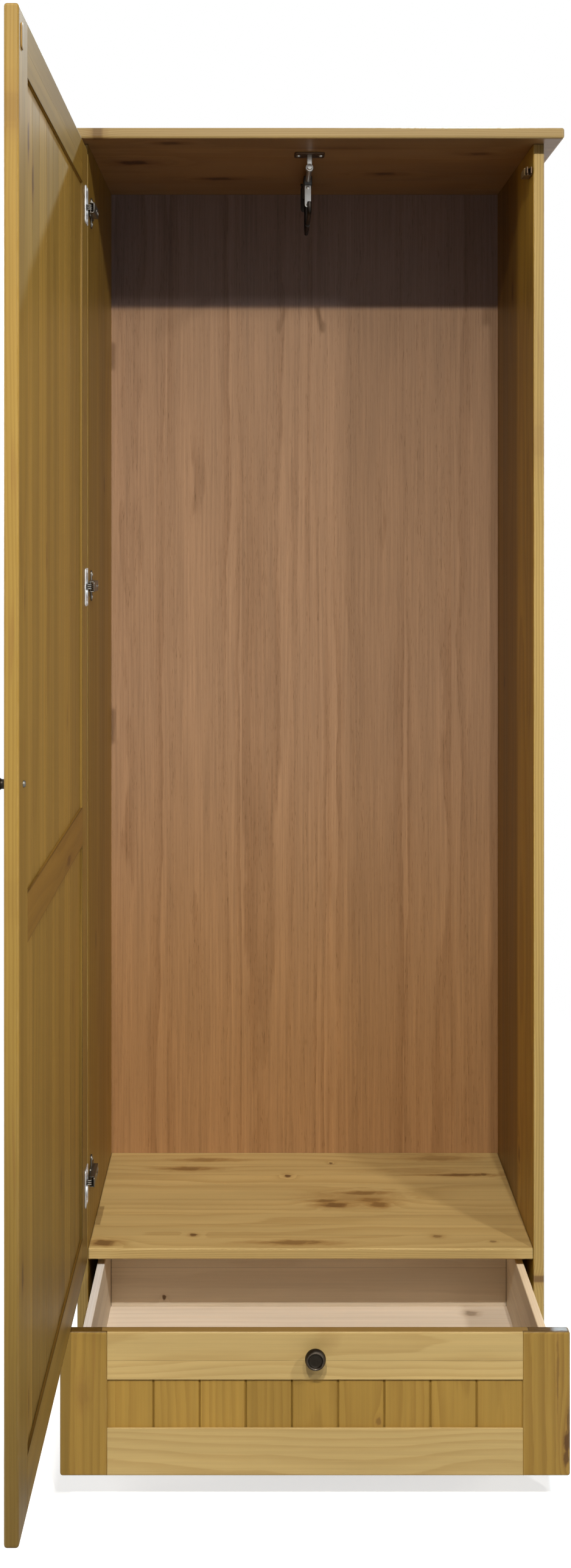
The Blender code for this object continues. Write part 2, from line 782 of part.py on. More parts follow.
def build_hinge_arm(label, height):
    """The arm that reaches round the side's front edge into the cup."""
    leg_left = PLATE_THICKNESS + 2 * FIT_GAP - INNER_HALF
    leg = extruded_mesh([leg_outline(leg_left)], height - ARM_WIDTH / 2, height + ARM_WIDTH / 2)
    arm = add_part(label + "_hinge_arm", leg, NICKEL)
    nose = extruded_mesh(
        nose_outlines(leg_left), height - NOSE_WIDTH / 2, height + NOSE_WIDTH / 2
    )
    join(arm, "nose", nose)


def build_hinge_plate(label, height):
    """The cross-shaped plate that carries the arm on the side panel."""
    front = FRONT_Y + PLATE_SETBACK
    rear = front + PLATE_LENGTH
    wing_front = (front + rear - PLATE_WING) / 2
    wing_rear = wing_front + PLATE_WING
    bar = PLATE_BAR / 2
    wing = PLATE_HEIGHT / 2
    outline = [
        (front, height - bar),
        (wing_front, height - bar),
        (wing_front, height - wing),
        (wing_rear, height - wing),
        (wing_rear, height - bar),
        (rear, height - bar),
        (rear, height + bar),
        (wing_rear, height + bar),
        (wing_rear, height + wing),
        (wing_front, height + wing),
        (wing_front, height + bar),
        (front, height + bar),
    ]
    inner = FIT_GAP - INNER_HALF
    mesh = extruded_mesh([outline], inner, inner + PLATE_THICKNESS, ALONG_X)
    add_part(label + "_hinge_plate", mesh, NICKEL)


def build_hinges(axis):
    """Three concealed hinges, one above another."""
    for label, height in HINGE_HEIGHTS.items():
        build_hinge_cup(label, height, axis)
        build_hinge_pin(label, height, axis)
        build_hinge_arm(label, height)
        build_hinge_plate(label, height)


def catch_middle():
    """Height and distance from the middle plane of the magnetic catch."""
    x = INNER_HALF - FIT_GAP - CATCH_THICKNESS / 2
    return x, TOP_UNDERSIDE - CATCH_DROP


def build_catch(axis):
    """The magnetic catch on the right side and the strike plate on the door."""
    x, z = catch_middle()
    half = Vector((CATCH_THICKNESS / 2, 0, CATCH_HEIGHT / 2))
    front = FRONT_Y + CATCH_SETBACK
    body = add_part(
        "catch_body",
        box_mesh(
            Vector((x, front, z)) - half,
            Vector((x, front + CATCH_LENGTH, z)) + half,
        ),
        WHITE_PLASTIC,
    )
    strike_outer = FRONT_Y - FRONT_CLEARANCE + FIT_GAP + STRIKE_THICKNESS
    tip = strike_outer + POLE_GAP
    slot_half = CATCH_HEIGHT / 2 - POLE_THICKNESS / 2
    bridge_rear = front + POLE_INSERT
    bridge_front = bridge_rear - POLE_THICKNESS
    outer = POLE_SPREAD / 2 + POLE_THICKNESS
    inner = POLE_SPREAD / 2
    outline = [
        (x - outer, tip),
        (x - inner, tip),
        (x - inner, bridge_front),
        (x + inner, bridge_front),
        (x + inner, tip),
        (x + outer, tip),
        (x + outer, bridge_rear),
        (x - outer, bridge_rear),
    ]
    poles = extruded_mesh([outline], z - slot_half, z + slot_half)
    add_part("catch_poles", poles, ZINC)
    pocket = box_mesh(
        (x - outer - FIT_GAP, front - CUT_OVERRUN, z - slot_half - FIT_GAP),
        (x + outer + FIT_GAP, bridge_rear + FIT_GAP, z + slot_half + FIT_GAP),
    )
    cut(body, "pole_pocket", pocket)
    local_x = x - PIVOT.x
    seat = HALF_BOARD + FIT_GAP
    strike = box_mesh(
        (local_x - STRIKE_WIDTH / 2, seat, z - STRIKE_HEIGHT / 2),
        (local_x + STRIKE_WIDTH / 2, seat + STRIKE_THICKNESS, z + STRIKE_HEIGHT / 2),
    )
    add_part("catch_strike_plate", strike, ZINC, axis)


def build_drawer_front(slide):
    """The frame-and-panel front of the drawer."""
    mid_y = -HALF_BOARD
    foot = DRAWER_FRONT_FOOT
    top = DRAWER_FRONT_TOP
    inner = HALF_WIDTH - DRAWER_STILE
    build_stile("drawer_left_stile", -HALF_WIDTH, -inner, foot, top, mid_y, 1, slide)
    build_stile("drawer_right_stile", inner, HALF_WIDTH, foot, top, mid_y, -1, slide)
    top_rail = build_rail(
        "drawer_top_rail", -inner, inner, top - DRAWER_RAIL, top, mid_y, (-1,), slide
    )
    build_rail("drawer_bottom_rail", -inner, inner, foot, foot + DRAWER_RAIL, mid_y, (1,), slide)
    build_panel(
        "drawer_front_panel", -inner, inner, foot + DRAWER_RAIL, top - DRAWER_RAIL, mid_y, slide
    )
    build_knob("drawer_knob", top_rail, 0, -BOARD, top - DRAWER_KNOB_DROP, slide)


def build_drawer_side(name, side, slide):
    """A side of the drawer box, grooved for the bottom."""
    across = sorted((side * SIDE_INNER, side * BOX_HALF))
    board = add_board(
        name,
        (across[0], FIT_GAP, DRAWER_SIDE_FOOT),
        (across[1], DRAWER_LENGTH, DRAWER_SIDE_TOP),
        PALE_PINE,
        slide,
        DRAWER_SIDE_ROUNDING,
        (FORWARDS,),
    )
    deep = side * (SIDE_INNER + BOTTOM_GROOVE_DEPTH)
    groove = sorted((side * (SIDE_INNER - CUT_OVERRUN), deep))
    cut(
        board,
        "bottom_groove",
        box_mesh(
            (groove[0], -CUT_OVERRUN, DRAWER_BOTTOM_FOOT - FIT_GAP),
            (groove[1], DRAWER_LENGTH + CUT_OVERRUN, DRAWER_BOTTOM_TOP + FIT_GAP),
        ),
    )


def build_drawer_box(slide):
    """Sides, back, bottom and the cleat under the bottom's front edge."""
    build_drawer_side("drawer_left_side", -1, slide)
    build_drawer_side("drawer_right_side", 1, slide)
    inner = SIDE_INNER - FIT_GAP
    add_board(
        "drawer_back",
        (-inner, DRAWER_LENGTH - DRAWER_SIDE, DRAWER_BOTTOM_TOP + FIT_GAP),
        (inner, DRAWER_LENGTH, DRAWER_SIDE_TOP),
        PALE_PINE,
        slide,
        DRAWER_SIDE_ROUNDING,
        (LEFT, RIGHT, DOWN),
    )
    reach = SIDE_INNER + BOTTOM_GROOVE_DEPTH - FIT_GAP
    bottom = box_mesh(
        (-reach, FIT_GAP, DRAWER_BOTTOM_FOOT), (reach, DRAWER_LENGTH, DRAWER_BOTTOM_TOP)
    )
    add_part("drawer_bottom", bottom, PALE_PLY, slide)
    cleat = box_mesh(
        (-inner, FIT_GAP, DRAWER_SIDE_FOOT),
        (inner, CLEAT_DEPTH, DRAWER_BOTTOM_FOOT - FIT_GAP),
    )
    add_part("drawer_bottom_cleat", cleat, PALE_PINE, slide)


def mirrored(outline, side):
    """An outline for the right-hand side, or its mirror image for the left-hand one."""
    return [(side * x, y) for x, y in outline]


def build_axle(runner, side, y):
    """The stub axle riveted to a runner, joined to it as one body."""
    start = BOX_HALF + FIT_GAP + RUNNER_SHEET / 2
    end = INNER_HALF - FIT_GAP - RUNNER_SHEET / 2
    roller_end = ROLLER_CENTRE_X + ROLLER_WIDTH / 2
    roller_start = ROLLER_CENTRE_X - ROLLER_WIDTH / 2
    if runner.parent:
        end = roller_end + FIT_GAP
    else:
        start = roller_start - FIT_GAP
    axle = rod_mesh((side * start, y, ROLLER_HEIGHT), (side * end, y, ROLLER_HEIGHT), AXLE_RADIUS)
    join(runner, "axle", axle)


def build_cabinet_runner(name, side):
    """The channel on a carcass side, with its axle for the front roller."""
    outer = INNER_HALF - FIT_GAP
    web = outer - RUNNER_SHEET
    lip = web - RUNNER_FLANGE
    foot = CABINET_FLANGE_TOP - RUNNER_SHEET
    roof = DRAWER_FLANGE_TOP + FIT_GAP
    outline = [
        (lip, foot),
        (outer, foot),
        (outer, roof + RUNNER_SHEET),
        (lip, roof + RUNNER_SHEET),
        (lip, roof),
        (web, roof),
        (web, CABINET_FLANGE_TOP),
        (lip, CABINET_FLANGE_TOP),
    ]
    start = FRONT_Y + CABINET_RUNNER_SETBACK
    mesh = extruded_mesh(
        [mirrored(outline, side)], -start - CABINET_RUNNER_LENGTH, -start, ALONG_Y
    )
    runner = add_part(name, mesh, ZINC)
    build_axle(runner, side, FRONT_Y + FRONT_ROLLER_SETBACK)


def build_drawer_runner(name, side, slide):
    """The rail under a drawer side, with its axle for the rear roller."""
    face = BOX_HALF + FIT_GAP
    web = face + RUNNER_SHEET
    foot = DRAWER_SIDE_FOOT - FIT_GAP - RUNNER_SHEET
    outline = [
        (SIDE_INNER, foot),
        (web, foot),
        (web, DRAWER_FLANGE_FOOT),
        (web + RUNNER_FLANGE, DRAWER_FLANGE_FOOT),
        (web + RUNNER_FLANGE, DRAWER_FLANGE_TOP),
        (face, DRAWER_FLANGE_TOP),
        (face, foot + RUNNER_SHEET),
        (SIDE_INNER, foot + RUNNER_SHEET),
    ]
    mesh = extruded_mesh(
        [mirrored(outline, side)], -DRAWER_LENGTH, -DRAWER_RUNNER_START, ALONG_Y
    )
    runner = add_part(name, mesh, ZINC, slide)
    build_axle(runner, side, DRAWER_LENGTH - REAR_ROLLER_FROM_END)


def build_roller(name, side, axis):
    """A plastic roller with its bore, on an axis across the wardrobe."""
    half = ROLLER_WIDTH / 2
    bore = AXLE_RADIUS + FIT_GAP
    ring = [(bore, half), (ROLLER_RADIUS, half), (ROLLER_RADIUS, -half), (bore, -half)]
    roller = add_part(name, turned_mesh(ring, FINE_STEPS, closed=True), WHITE_PLASTIC, axis)
    roller.data.transform(ALONG_X)
    roller.location = (side * ROLLER_CENTRE_X, 0, 0)


def build_runners(slide):
    """Two pairs of roller runners with the rollers they turn on."""
    front_axis = pivot_empty(
        "front_roller_axis", (0, FRONT_Y + FRONT_ROLLER_SETBACK, ROLLER_HEIGHT)
    )
    rear_axis = pivot_empty(
        "rear_roller_axis", (0, DRAWER_LENGTH - REAR_ROLLER_FROM_END, ROLLER_HEIGHT), 0.0, slide
    )
    for word, side in (("left", -1), ("right", 1)):
        build_cabinet_runner("cabinet_runner_" + word, side)
        build_drawer_runner("drawer_runner_" + word, side, slide)
        build_roller("front_roller_" + word, side, front_axis)
        build_roller("rear_roller_" + word, side, rear_axis)


def rail_screw_place(side):
    """Where a screw of the rail's front bracket meets the underside of its plate."""
    y = FRONT_Y + RAIL_FRONT_SETBACK + RAIL_PLATE_DEPTH / 2
    return Vector((side * RAIL_SCREW_SPACING / 2, y, TOP_UNDERSIDE - FIT_GAP - RAIL_SHEET))


def rail_screw_hole(side):
    """The hole of a bracket screw through the plate and into the top."""
    place = rail_screw_place(side)
    below = Vector((0, 0, CUT_OVERRUN))
    above = Vector((0, 0, RAIL_SCREW_LENGTH + FIT_GAP))
    return rod_mesh(place - below, place + above, RAIL_SCREW_RADIUS + FIT_GAP)


def build_rail_screw(name, side):
    """A screw that comes up through the bracket's plate into the top."""
    profile = [
        (0, RAIL_SCREW_LENGTH),
        (RAIL_SCREW_RADIUS, RAIL_SCREW_LENGTH),
        (RAIL_SCREW_RADIUS, -FIT_GAP),
        (RAIL_SCREW_HEAD_RADIUS, -FIT_GAP),
        (RAIL_SCREW_HEAD_RADIUS, -FIT_GAP - RAIL_SCREW_HEAD / 2),
        (RAIL_SCREW_HEAD_RADIUS / 2, -FIT_GAP - RAIL_SCREW_HEAD),
        (0, -FIT_GAP - RAIL_SCREW_HEAD),
    ]
    screw = add_part(name, turned_mesh(profile), ZINC)
    screw.location = rail_screw_place(side)


def build_front_bracket():
    """The bracket under the top: a plate, a neck and a collar round the guide rod."""
    front = FRONT_Y + RAIL_FRONT_SETBACK
    half = RAIL_PLATE_WIDTH / 2
    plate_top = TOP_UNDERSIDE - FIT_GAP
    plate_foot = plate_top - RAIL_SHEET
    guide = TOP_UNDERSIDE - GUIDE_DROP
    bracket = add_part(
        "rail_front_bracket",
        box_mesh((-half, front, plate_foot), (half, front + RAIL_PLATE_DEPTH, plate_top)),
        DARK_STEEL,
    )
    cut(bracket, "screw_holes", *[rail_screw_hole(side) for side in (-1, 1)])
    middle = front + RAIL_PLATE_DEPTH / 2
    neck_half = RAIL_NECK_WIDTH / 2
    neck = box_mesh(
        (-neck_half, middle - RAIL_COLLAR_LENGTH / 2 + FIT_GAP, guide),
        (neck_half, middle + RAIL_COLLAR_LENGTH / 2 - FIT_GAP, plate_foot + RAIL_SHEET / 2),
    )
    join(bracket, "neck", neck)
    collar_start = middle - RAIL_COLLAR_LENGTH / 2
    collar_end = middle + RAIL_COLLAR_LENGTH / 2
    collar = rod_mesh((0, collar_start, guide), (0, collar_end, guide), RAIL_COLLAR_RADIUS)
    join(bracket, "collar", collar)
    bore = rod_mesh(
        (0, collar_start - CUT_OVERRUN, guide),
        (0, collar_end + CUT_OVERRUN, guide),
        GUIDE_RADIUS + FIT_GAP,
    )
    cut(bracket, "rod_bore", bore)


def build_rear_bracket():
    """The block under the top that takes the guide rod's rear end."""
    front = FRONT_Y + RAIL_REAR_SETBACK
    half = RAIL_REAR_WIDTH / 2
    top = TOP_UNDERSIDE - FIT_GAP
    guide = TOP_UNDERSIDE - GUIDE_DROP
    bracket = add_board(
        "rail_rear_bracket",
        (-half, front, top - RAIL_REAR_DROP),
        (half, front + RAIL_REAR_THICKNESS, top),
        BLACK_PLASTIC,
        rounding=RAIL_SHEET / 2,
    )
    socket = rod_mesh(
        (0, front - CUT_OVERRUN, guide), (0, front + GUIDE_SOCKET, guide), GUIDE_RADIUS + FIT_GAP
    )
    cut(bracket, "rod_socket", socket)


def build_guide_rod():
    """The fixed rod that the slider runs on."""
    guide = TOP_UNDERSIDE - GUIDE_DROP
    middle = FRONT_Y + RAIL_FRONT_SETBACK + RAIL_PLATE_DEPTH / 2
    front = middle - RAIL_COLLAR_LENGTH
    rear = FRONT_Y + RAIL_REAR_SETBACK + GUIDE_SOCKET - FIT_GAP
    rod = rod_mesh((0, front, guide), (0, rear, guide), GUIDE_RADIUS, COARSE_STEPS)
    part = add_part("rail_guide_rod", rod, NICKEL)
    round_edges(part, GUIDE_RADIUS / 4)


def build_slider(slide):
    """The block that runs on the guide rod, in the rail's own frame at its start."""
    half = SLIDER_WIDTH / 2
    foot = -SLIDER_HEIGHT / 2
    slider = add_board(
        "rail_slider",
        (-half, SLIDER_START, foot),
        (half, SLIDER_START + SLIDER_LENGTH, SLIDER_HEIGHT / 2),
        BLACK_PLASTIC,
        slide,
        RAIL_SHEET / 2,
    )
    bore = rod_mesh(
        (0, SLIDER_START - CUT_OVERRUN, 0),
        (0, SLIDER_START + SLIDER_LENGTH + CUT_OVERRUN, 0),
        GUIDE_RADIUS + FIT_GAP,
    )
    cut(slider, "rod_bore", bore)
    rod_socket = rod_mesh(
        (0, HANGER_REAR, foot - CUT_OVERRUN),
        (0, HANGER_REAR, foot + HANGER_SOCKET - FIT_GAP),
        HANGER_RADIUS + FIT_GAP,
    )
    strap_half = STRAP_WIDTH / 2 + FIT_GAP
    strap_socket = box_mesh(
        (-strap_half, STRAP_START - FIT_GAP, foot - CUT_OVERRUN),
        (strap_half, STRAP_START + STRAP_THICKNESS + FIT_GAP, foot + STRAP_SOCKET),
    )
    cut(slider, "sockets", rod_socket, strap_socket)


def hanger_path():
    """Route of the hanger rod: up into the slider, forward, and up again at the tip."""
    low = GUIDE_DROP - HANGER_DROP
    top = HANGER_SOCKET - FIT_GAP * 2 - SLIDER_HEIGHT / 2
    rear = arc_points((HANGER_REAR - HANGER_BEND, low + HANGER_BEND), HANGER_BEND, 0, -90)
    front = arc_points((HANGER_FRONT + HANGER_BEND, low + HANGER_BEND), HANGER_BEND, -90, -180)
    return [(HANGER_REAR, top)] + rear + front + [(HANGER_FRONT, low + HANGER_TIP_RISE)]


def build_hanger_rod(slide):
    """The rod that the hangers hang on."""
    curve = bpy.data.curves.new("hanger_path", "CURVE")
    curve.dimensions = "3D"
    curve.bevel_depth = HANGER_RADIUS
    curve.bevel_resolution = 2
    curve.use_fill_caps = True
    path = hanger_path()
    spline = curve.splines.new("POLY")
    spline.points.add(len(path) - 1)
    for point, (y, z) in zip(spline.points, path):
        point.co = (0, y, z, 1)
    add_part("rail_hanger_rod", curve, DARK_STEEL, slide)


def build_strap(slide):
    """The flat strap that ties the hanger rod to the slider's front end."""
    low = GUIDE_DROP - HANGER_DROP
    half = STRAP_WIDTH / 2
    eye = HANGER_RADIUS + FIT_GAP
    foot = low - eye - STRAP_EYE_WALL
    top = STRAP_SOCKET - FIT_GAP - SLIDER_HEIGHT / 2
    ring = arc_points((0, low), eye, 0, 330, COARSE_STEPS - 1)
    outline = [(-half, foot), (half, foot), (half, top), (-half, top)]
    mesh = extruded_mesh(
        [outline, ring], -STRAP_START - STRAP_THICKNESS, -STRAP_START, ALONG_Y
    )
    add_part("rail_front_strap", mesh, DARK_STEEL, slide)


def build_hanging_rail():
    """The pull-out rail under the top."""
    build_front_bracket()
    build_rail_screw("rail_screw_left", -1)
    build_rail_screw("rail_screw_right", 1)
    build_rear_bracket()
    build_guide_rod()
    slide = pivot_empty("rail_slide", (0, FRONT_Y, TOP_UNDERSIDE - GUIDE_DROP))
    build_slider(slide)
    build_hanger_rod(slide)
    build_strap(slide)


def main():
    """Build the whole wardrobe."""
    build_carcass()
    door_axis = pivot_empty("door_hinge_axis", PIVOT, math.radians(-90))
    build_door(door_axis)
    build_hinges(door_axis)
    build_catch(door_axis)
    drawer_slide = pivot_empty("drawer_slide", (0, FRONT_Y - FRONT_CLEARANCE - DRAWER_PULL, 0))
    build_drawer_front(drawer_slide)
    build_drawer_box(drawer_slide)
    build_runners(drawer_slide)
    build_hanging_rail()


main()
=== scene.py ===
import json
import math
from collections import namedtuple

import bmesh
import bpy
from bpy.props import FloatProperty, FloatVectorProperty, IntProperty, PointerProperty
from mathutils import Matrix, Vector


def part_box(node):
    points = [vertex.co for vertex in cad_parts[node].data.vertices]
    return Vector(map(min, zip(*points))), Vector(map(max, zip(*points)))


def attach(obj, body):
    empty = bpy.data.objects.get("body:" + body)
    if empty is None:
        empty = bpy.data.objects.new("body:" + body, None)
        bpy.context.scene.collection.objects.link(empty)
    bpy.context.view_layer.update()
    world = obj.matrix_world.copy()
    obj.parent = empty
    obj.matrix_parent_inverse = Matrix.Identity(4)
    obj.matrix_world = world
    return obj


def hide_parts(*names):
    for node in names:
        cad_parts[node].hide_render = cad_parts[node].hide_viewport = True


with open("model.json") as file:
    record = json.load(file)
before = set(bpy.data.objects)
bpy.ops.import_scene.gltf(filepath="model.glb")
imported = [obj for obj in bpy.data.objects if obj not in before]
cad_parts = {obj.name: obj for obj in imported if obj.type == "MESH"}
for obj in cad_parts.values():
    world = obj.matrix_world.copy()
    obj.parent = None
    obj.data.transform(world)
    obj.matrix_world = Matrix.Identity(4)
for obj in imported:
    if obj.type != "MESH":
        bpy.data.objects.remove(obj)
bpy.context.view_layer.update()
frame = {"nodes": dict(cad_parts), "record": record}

bl_info = {
    "name": "Pine Wardrobe",
    "version": (1, 0, 0),
    "blender": (4, 5, 0),
    "location": "3D View > Sidebar > Wardrobe",
    "description": "Boards, fittings and stage of a one-door pine wardrobe with a drawer",
    "category": "Object",
}

FULL_TURN = math.tau
RIGHT_ANGLE = math.pi / 2
WELD = 0.00001
CORNER_STEPS, BEND_STEPS = 5, 8
SHARP_ANGLE, EASED_ANGLE, PIPE_END_ANGLE = (math.radians(angle) for angle in (38, 50, 70))
HINGES = ("top", "middle", "bottom")
SIDES = ("left", "right")
AXES = "XYZ"
LOW, HIGH = 0, 1

# Which way a turned or pressed fitting faces, as a turn from +Z.
FACING = {
    "up": Matrix(),
    "down": Matrix.Rotation(math.pi, 4, "X"),
    "front": Matrix.Rotation(RIGHT_ANGLE, 4, "X"),
    "back": Matrix.Rotation(-RIGHT_ANGLE, 4, "X"),
    "left": Matrix.Rotation(-RIGHT_ANGLE, 4, "Y"),
    "right": Matrix.Rotation(RIGHT_ANGLE, 4, "Y"),
}


# Settings a user may change


def colour_setting(name, description, default):
    return FloatVectorProperty(
        name=name, description=description, default=default, subtype="COLOR", min=0, max=1, size=3
    )


def length_setting(name, description, default):
    return FloatProperty(name=name, description=description, default=default, min=0, unit="LENGTH")


def share_setting(name, description, default):
    return FloatProperty(
        name=name, description=description, default=default, min=0, max=1, subtype="FACTOR"
    )


def level_setting(name, description, default):
    return FloatProperty(name=name, description=description, default=default, min=0)


class WardrobeWoodSettings(bpy.types.PropertyGroup):
    """Colours and figure of the timber."""

    rail_early: colour_setting("Rail early wood", "Pale wood of boards laid level", (0.54, 0.38, 0.150))
    rail_late: colour_setting("Rail late wood", "Ring lines of boards laid level", (0.38, 0.235, 0.075))
    stile_early: colour_setting("Stile early wood", "Pale wood of upright boards", (0.39, 0.232, 0.046))
    stile_late: colour_setting("Stile late wood", "Ring lines of upright boards", (0.23, 0.118, 0.020))
    box_early: colour_setting("Drawer box early wood", "Unlacquered drawer box", (0.65, 0.55, 0.42))
    box_late: colour_setting("Drawer box late wood", "Ring lines of the drawer box", (0.53, 0.42, 0.30))
    ply_early: colour_setting("Thin panel face", "Birch face of the drawer bottom", (0.80, 0.68, 0.54))
    ply_late: colour_setting("Thin panel figure", "Figure of the drawer bottom", (0.70, 0.56, 0.41))
    veneer_early: colour_setting("Veneer ground", "Pale part of the back's veneer", (0.37, 0.215, 0.118))
    veneer_late: colour_setting("Veneer figure", "Dark part of the back's veneer", (0.20, 0.100, 0.046))
    pressed_board: colour_setting("Pressed board", "Bare rear of the back", (0.52, 0.31, 0.155))
    knot: colour_setting("Knot", "Heart of a knot", (0.105, 0.044, 0.012))
    halo: colour_setting("Knot halo", "Resin-stained wood round a knot", (0.29, 0.145, 0.034))
    ring_spacing: length_setting("Ring spacing", "Width of one year's growth", 0.0042)
    knot_strength: share_setting("Knot strength", "How dark the knots are", 0.9)
    wear: share_setting("Arris wear", "How pale the handled arrises are", 0.14)


class WardrobeMetalSettings(bpy.types.PropertyGroup):
    """Colours and sizes of the fittings."""

    nickel: colour_setting("Nickel", "Plated rail", (0.52, 0.52, 0.50))
    satin_nickel: colour_setting("Satin nickel", "Hinge cups", (0.68, 0.70, 0.71))
    # Nickel darkened as painted shade on the hinge arms and plates; the knob screws are dull.
    dull_nickel: colour_setting("Dull nickel", "Hinge arms and plates, knob screws", (0.16, 0.15, 0.13))
    zinc: colour_setting("Zinc", "Plated screws and runners", (0.40, 0.40, 0.38))
    bronze: colour_setting("Bronze", "Dark knob metal", (0.030, 0.024, 0.017))
    rubbed_bronze: colour_setting("Rubbed bronze", "Knob metal where hands rub it", (0.085, 0.068, 0.050))
    dark_steel: colour_setting("Blackened steel", "Rear bracket and hanger rod", (0.026, 0.022, 0.019))
    brown_steel: colour_setting("Browned steel", "Rail's front bracket, catch poles", (0.085, 0.055, 0.034))
    # Black plastic also colours the strip of painted shade in the gap above the back.
    black_plastic: colour_setting("Black plastic", "Rail's slider, seal of the back", (0.022, 0.021, 0.020))
    white_plastic: colour_setting("White plastic", "Rollers", (0.74, 0.70, 0.62))
    beige_plastic: colour_setting("Beige plastic", "Magnetic catch", (0.20, 0.13, 0.06))
    lacquered_steel: colour_setting("Lacquered steel", "Catch's strike plate", (0.36, 0.215, 0.060))
    screw_head: length_setting("Screw head radius", "Screws of the hinge cups and plates", 0.0034)
    nail_head: length_setting("Nail head radius", "Nails that hold the back", 0.0019)
    knob_steps: IntProperty(name="Knob steps", description="Steps round a knob", default=40, min=12)


class WardrobeStudioSettings(bpy.types.PropertyGroup):
    """Camera, lamps and floor."""

    eye: FloatVectorProperty(
        name="Camera place", description="Where the camera stands", default=(-0.0724, -2.5915, 1.3902),
        subtype="TRANSLATION",
    )
    lens: FloatProperty(name="Lens", description="Focal length in millimetres", default=38.24, min=1)
    shift: FloatVectorProperty(
        name="Shift", description="Sideways and upward shift of the picture",
        default=(0.0137, -0.1643), size=2,
    )
    key: level_setting("Key lamps", "Level of the pair of lamps in front", 0.74)
    fill: level_setting("Fill lamp", "Level of the lamp in front at the right", 0.31)
    side: level_setting("Side lamps", "Level of the lamps at the left and the walls", 0.35)
    rear: level_setting("Rear lamp", "Level of the lamp behind", 1.05)
    ambient: level_setting("Surrounding light", "Level of the room", 0.04)
    floor_radius: length_setting("Floor radius", "Where the floor has faded away", 2.6)
    floor_colour: colour_setting("Floor", "Pale studio floor", (0.60, 0.60, 0.59))


# Node trees


class Net:
    """Adds nodes to one tree and joins them up."""

    def __init__(self, tree):
        self.tree = tree

    def feed(self, socket, value):
        if isinstance(value, bpy.types.NodeSocket):
            self.tree.links.new(value, socket)
        elif hasattr(value, "__len__") and len(value) == 3 and socket.type == "RGBA":
            socket.default_value = (*value, 1)
        else:
            socket.default_value = value

    def add(self, kind, inputs=None, **settings):
        node = self.tree.nodes.new(kind)
        for name, value in settings.items():
            setattr(node, name, value)
        for key, value in (inputs or {}).items():
            self.feed(node.inputs[key], value)
        return node

    def math(self, operation, *values):
        node = self.add("ShaderNodeMath", dict(enumerate(values)), operation=operation)
        return node.outputs[0]

    def times(self, first, *others):
        result = first
        for value in others:
            result = self.math("MULTIPLY", result, value)
        return result

    def length(self, *parts):
        joined = self.join(*parts)
        return self.add("ShaderNodeVectorMath", {0: joined}, operation="LENGTH").outputs["Value"]

    def join(self, x, y, z=0.0):
        return self.add("ShaderNodeCombineXYZ", {0: x, 1: y, 2: z}).outputs[0]

    def split(self, vector):
        node = self.add("ShaderNodeSeparateXYZ", {0: vector})
        return dict(zip(AXES, node.outputs))

    def step(self, value, low, high):
        """Runs smoothly from 0 at low to 1 at high."""
        inputs = {"Value": value, "From Min": low, "From Max": high}
        ramp = self.add("ShaderNodeMapRange", inputs, interpolation_type="SMOOTHSTEP")
        return ramp.outputs["Result"]

    def noise(self, vector, detail=2.0, rough=0.5, scale=1.0):
        inputs = {"Vector": vector, "Scale": scale, "Detail": detail, "Roughness": rough}
        return self.add("ShaderNodeTexNoise", inputs).outputs["Fac"]

    def stretched_noise(self, point, stretch, detail=2.0, rough=0.5):
        parts = [self.times(part, cycles) for part, cycles in zip(point, stretch)]
        return self.noise(self.join(*parts), detail, rough)

    def blend(self, share, first, second, mode="MIX"):
        node = self.add("ShaderNodeMix", data_type="RGBA", blend_type=mode)
        self.feed(node.inputs[0], share)
        self.feed(node.inputs[6], first)
        self.feed(node.inputs[7], second)
        return node.outputs[2]

    def swing(self, value, size):
        """Moves a 0 to 1 value to minus half to plus half of size."""
        return self.times(self.math("SUBTRACT", value, 0.5), size)

    def total(self, *values):
        result = values[0]
        for value in values[1:]:
            result = self.math("ADD", result, value)
        return result

    def scaled_colour(self, colour, value):
        node = self.add("ShaderNodeVectorMath", {0: colour}, operation="SCALE")
        self.feed(node.inputs["Scale"], value)
        return node.outputs[0]


def start_group(name, numbers, outputs):
    """Makes a node group and gives the net, what goes in and what comes out."""
    group = bpy.data.node_groups.new(name, "ShaderNodeTree")
    for label in numbers:
        group.interface.new_socket(name=label, in_out="INPUT", socket_type="NodeSocketFloat")
    for label, kind in outputs.items():
        group.interface.new_socket(name=label, in_out="OUTPUT", socket_type=f"NodeSocket{kind}")
    net = Net(group)
    return net, net.add("NodeGroupInput").outputs, net.add("NodeGroupOutput").inputs


def use_group(net, name, inputs):
    node = net.tree.nodes.new("ShaderNodeGroup")
    node.node_tree = bpy.data.node_groups[name]
    for key, value in inputs.items():
        net.feed(node.inputs[key], value)
    return node.outputs


def start_material(name):
    material = bpy.data.materials.new(name)
    material.use_nodes = True
    net = Net(material.node_tree)
    return material, net, material.node_tree.nodes["Principled BSDF"]


def object_point(net):
    return net.add("ShaderNodeTexCoord").outputs["Object"]


def raise_bumps(net, shader, height, distance):
    inputs = {"Height": height, "Distance": distance}
    net.feed(shader.inputs["Normal"], net.add("ShaderNodeBump", inputs).outputs["Normal"])


# Timber


# Cycles a metre of each noise, along, across and through a board.
STRETCH = {
    "wobble": (9, 70, 70),
    "fibre": (14, 950, 950),
    "patch": (2.2, 17, 17),
    "streak": (5, 120, 120),
    "band": (0.9, 62, 62),
    "fine": (2.5, 230, 230),
    "rub": (30, 60, 60),
    "veneer broad": (1.2, 30, 30),
    "veneer fine": (5, 260, 260),
    "veneer pore": (55, 1000, 1000),
    "scuff": (130, 1, 9),
}
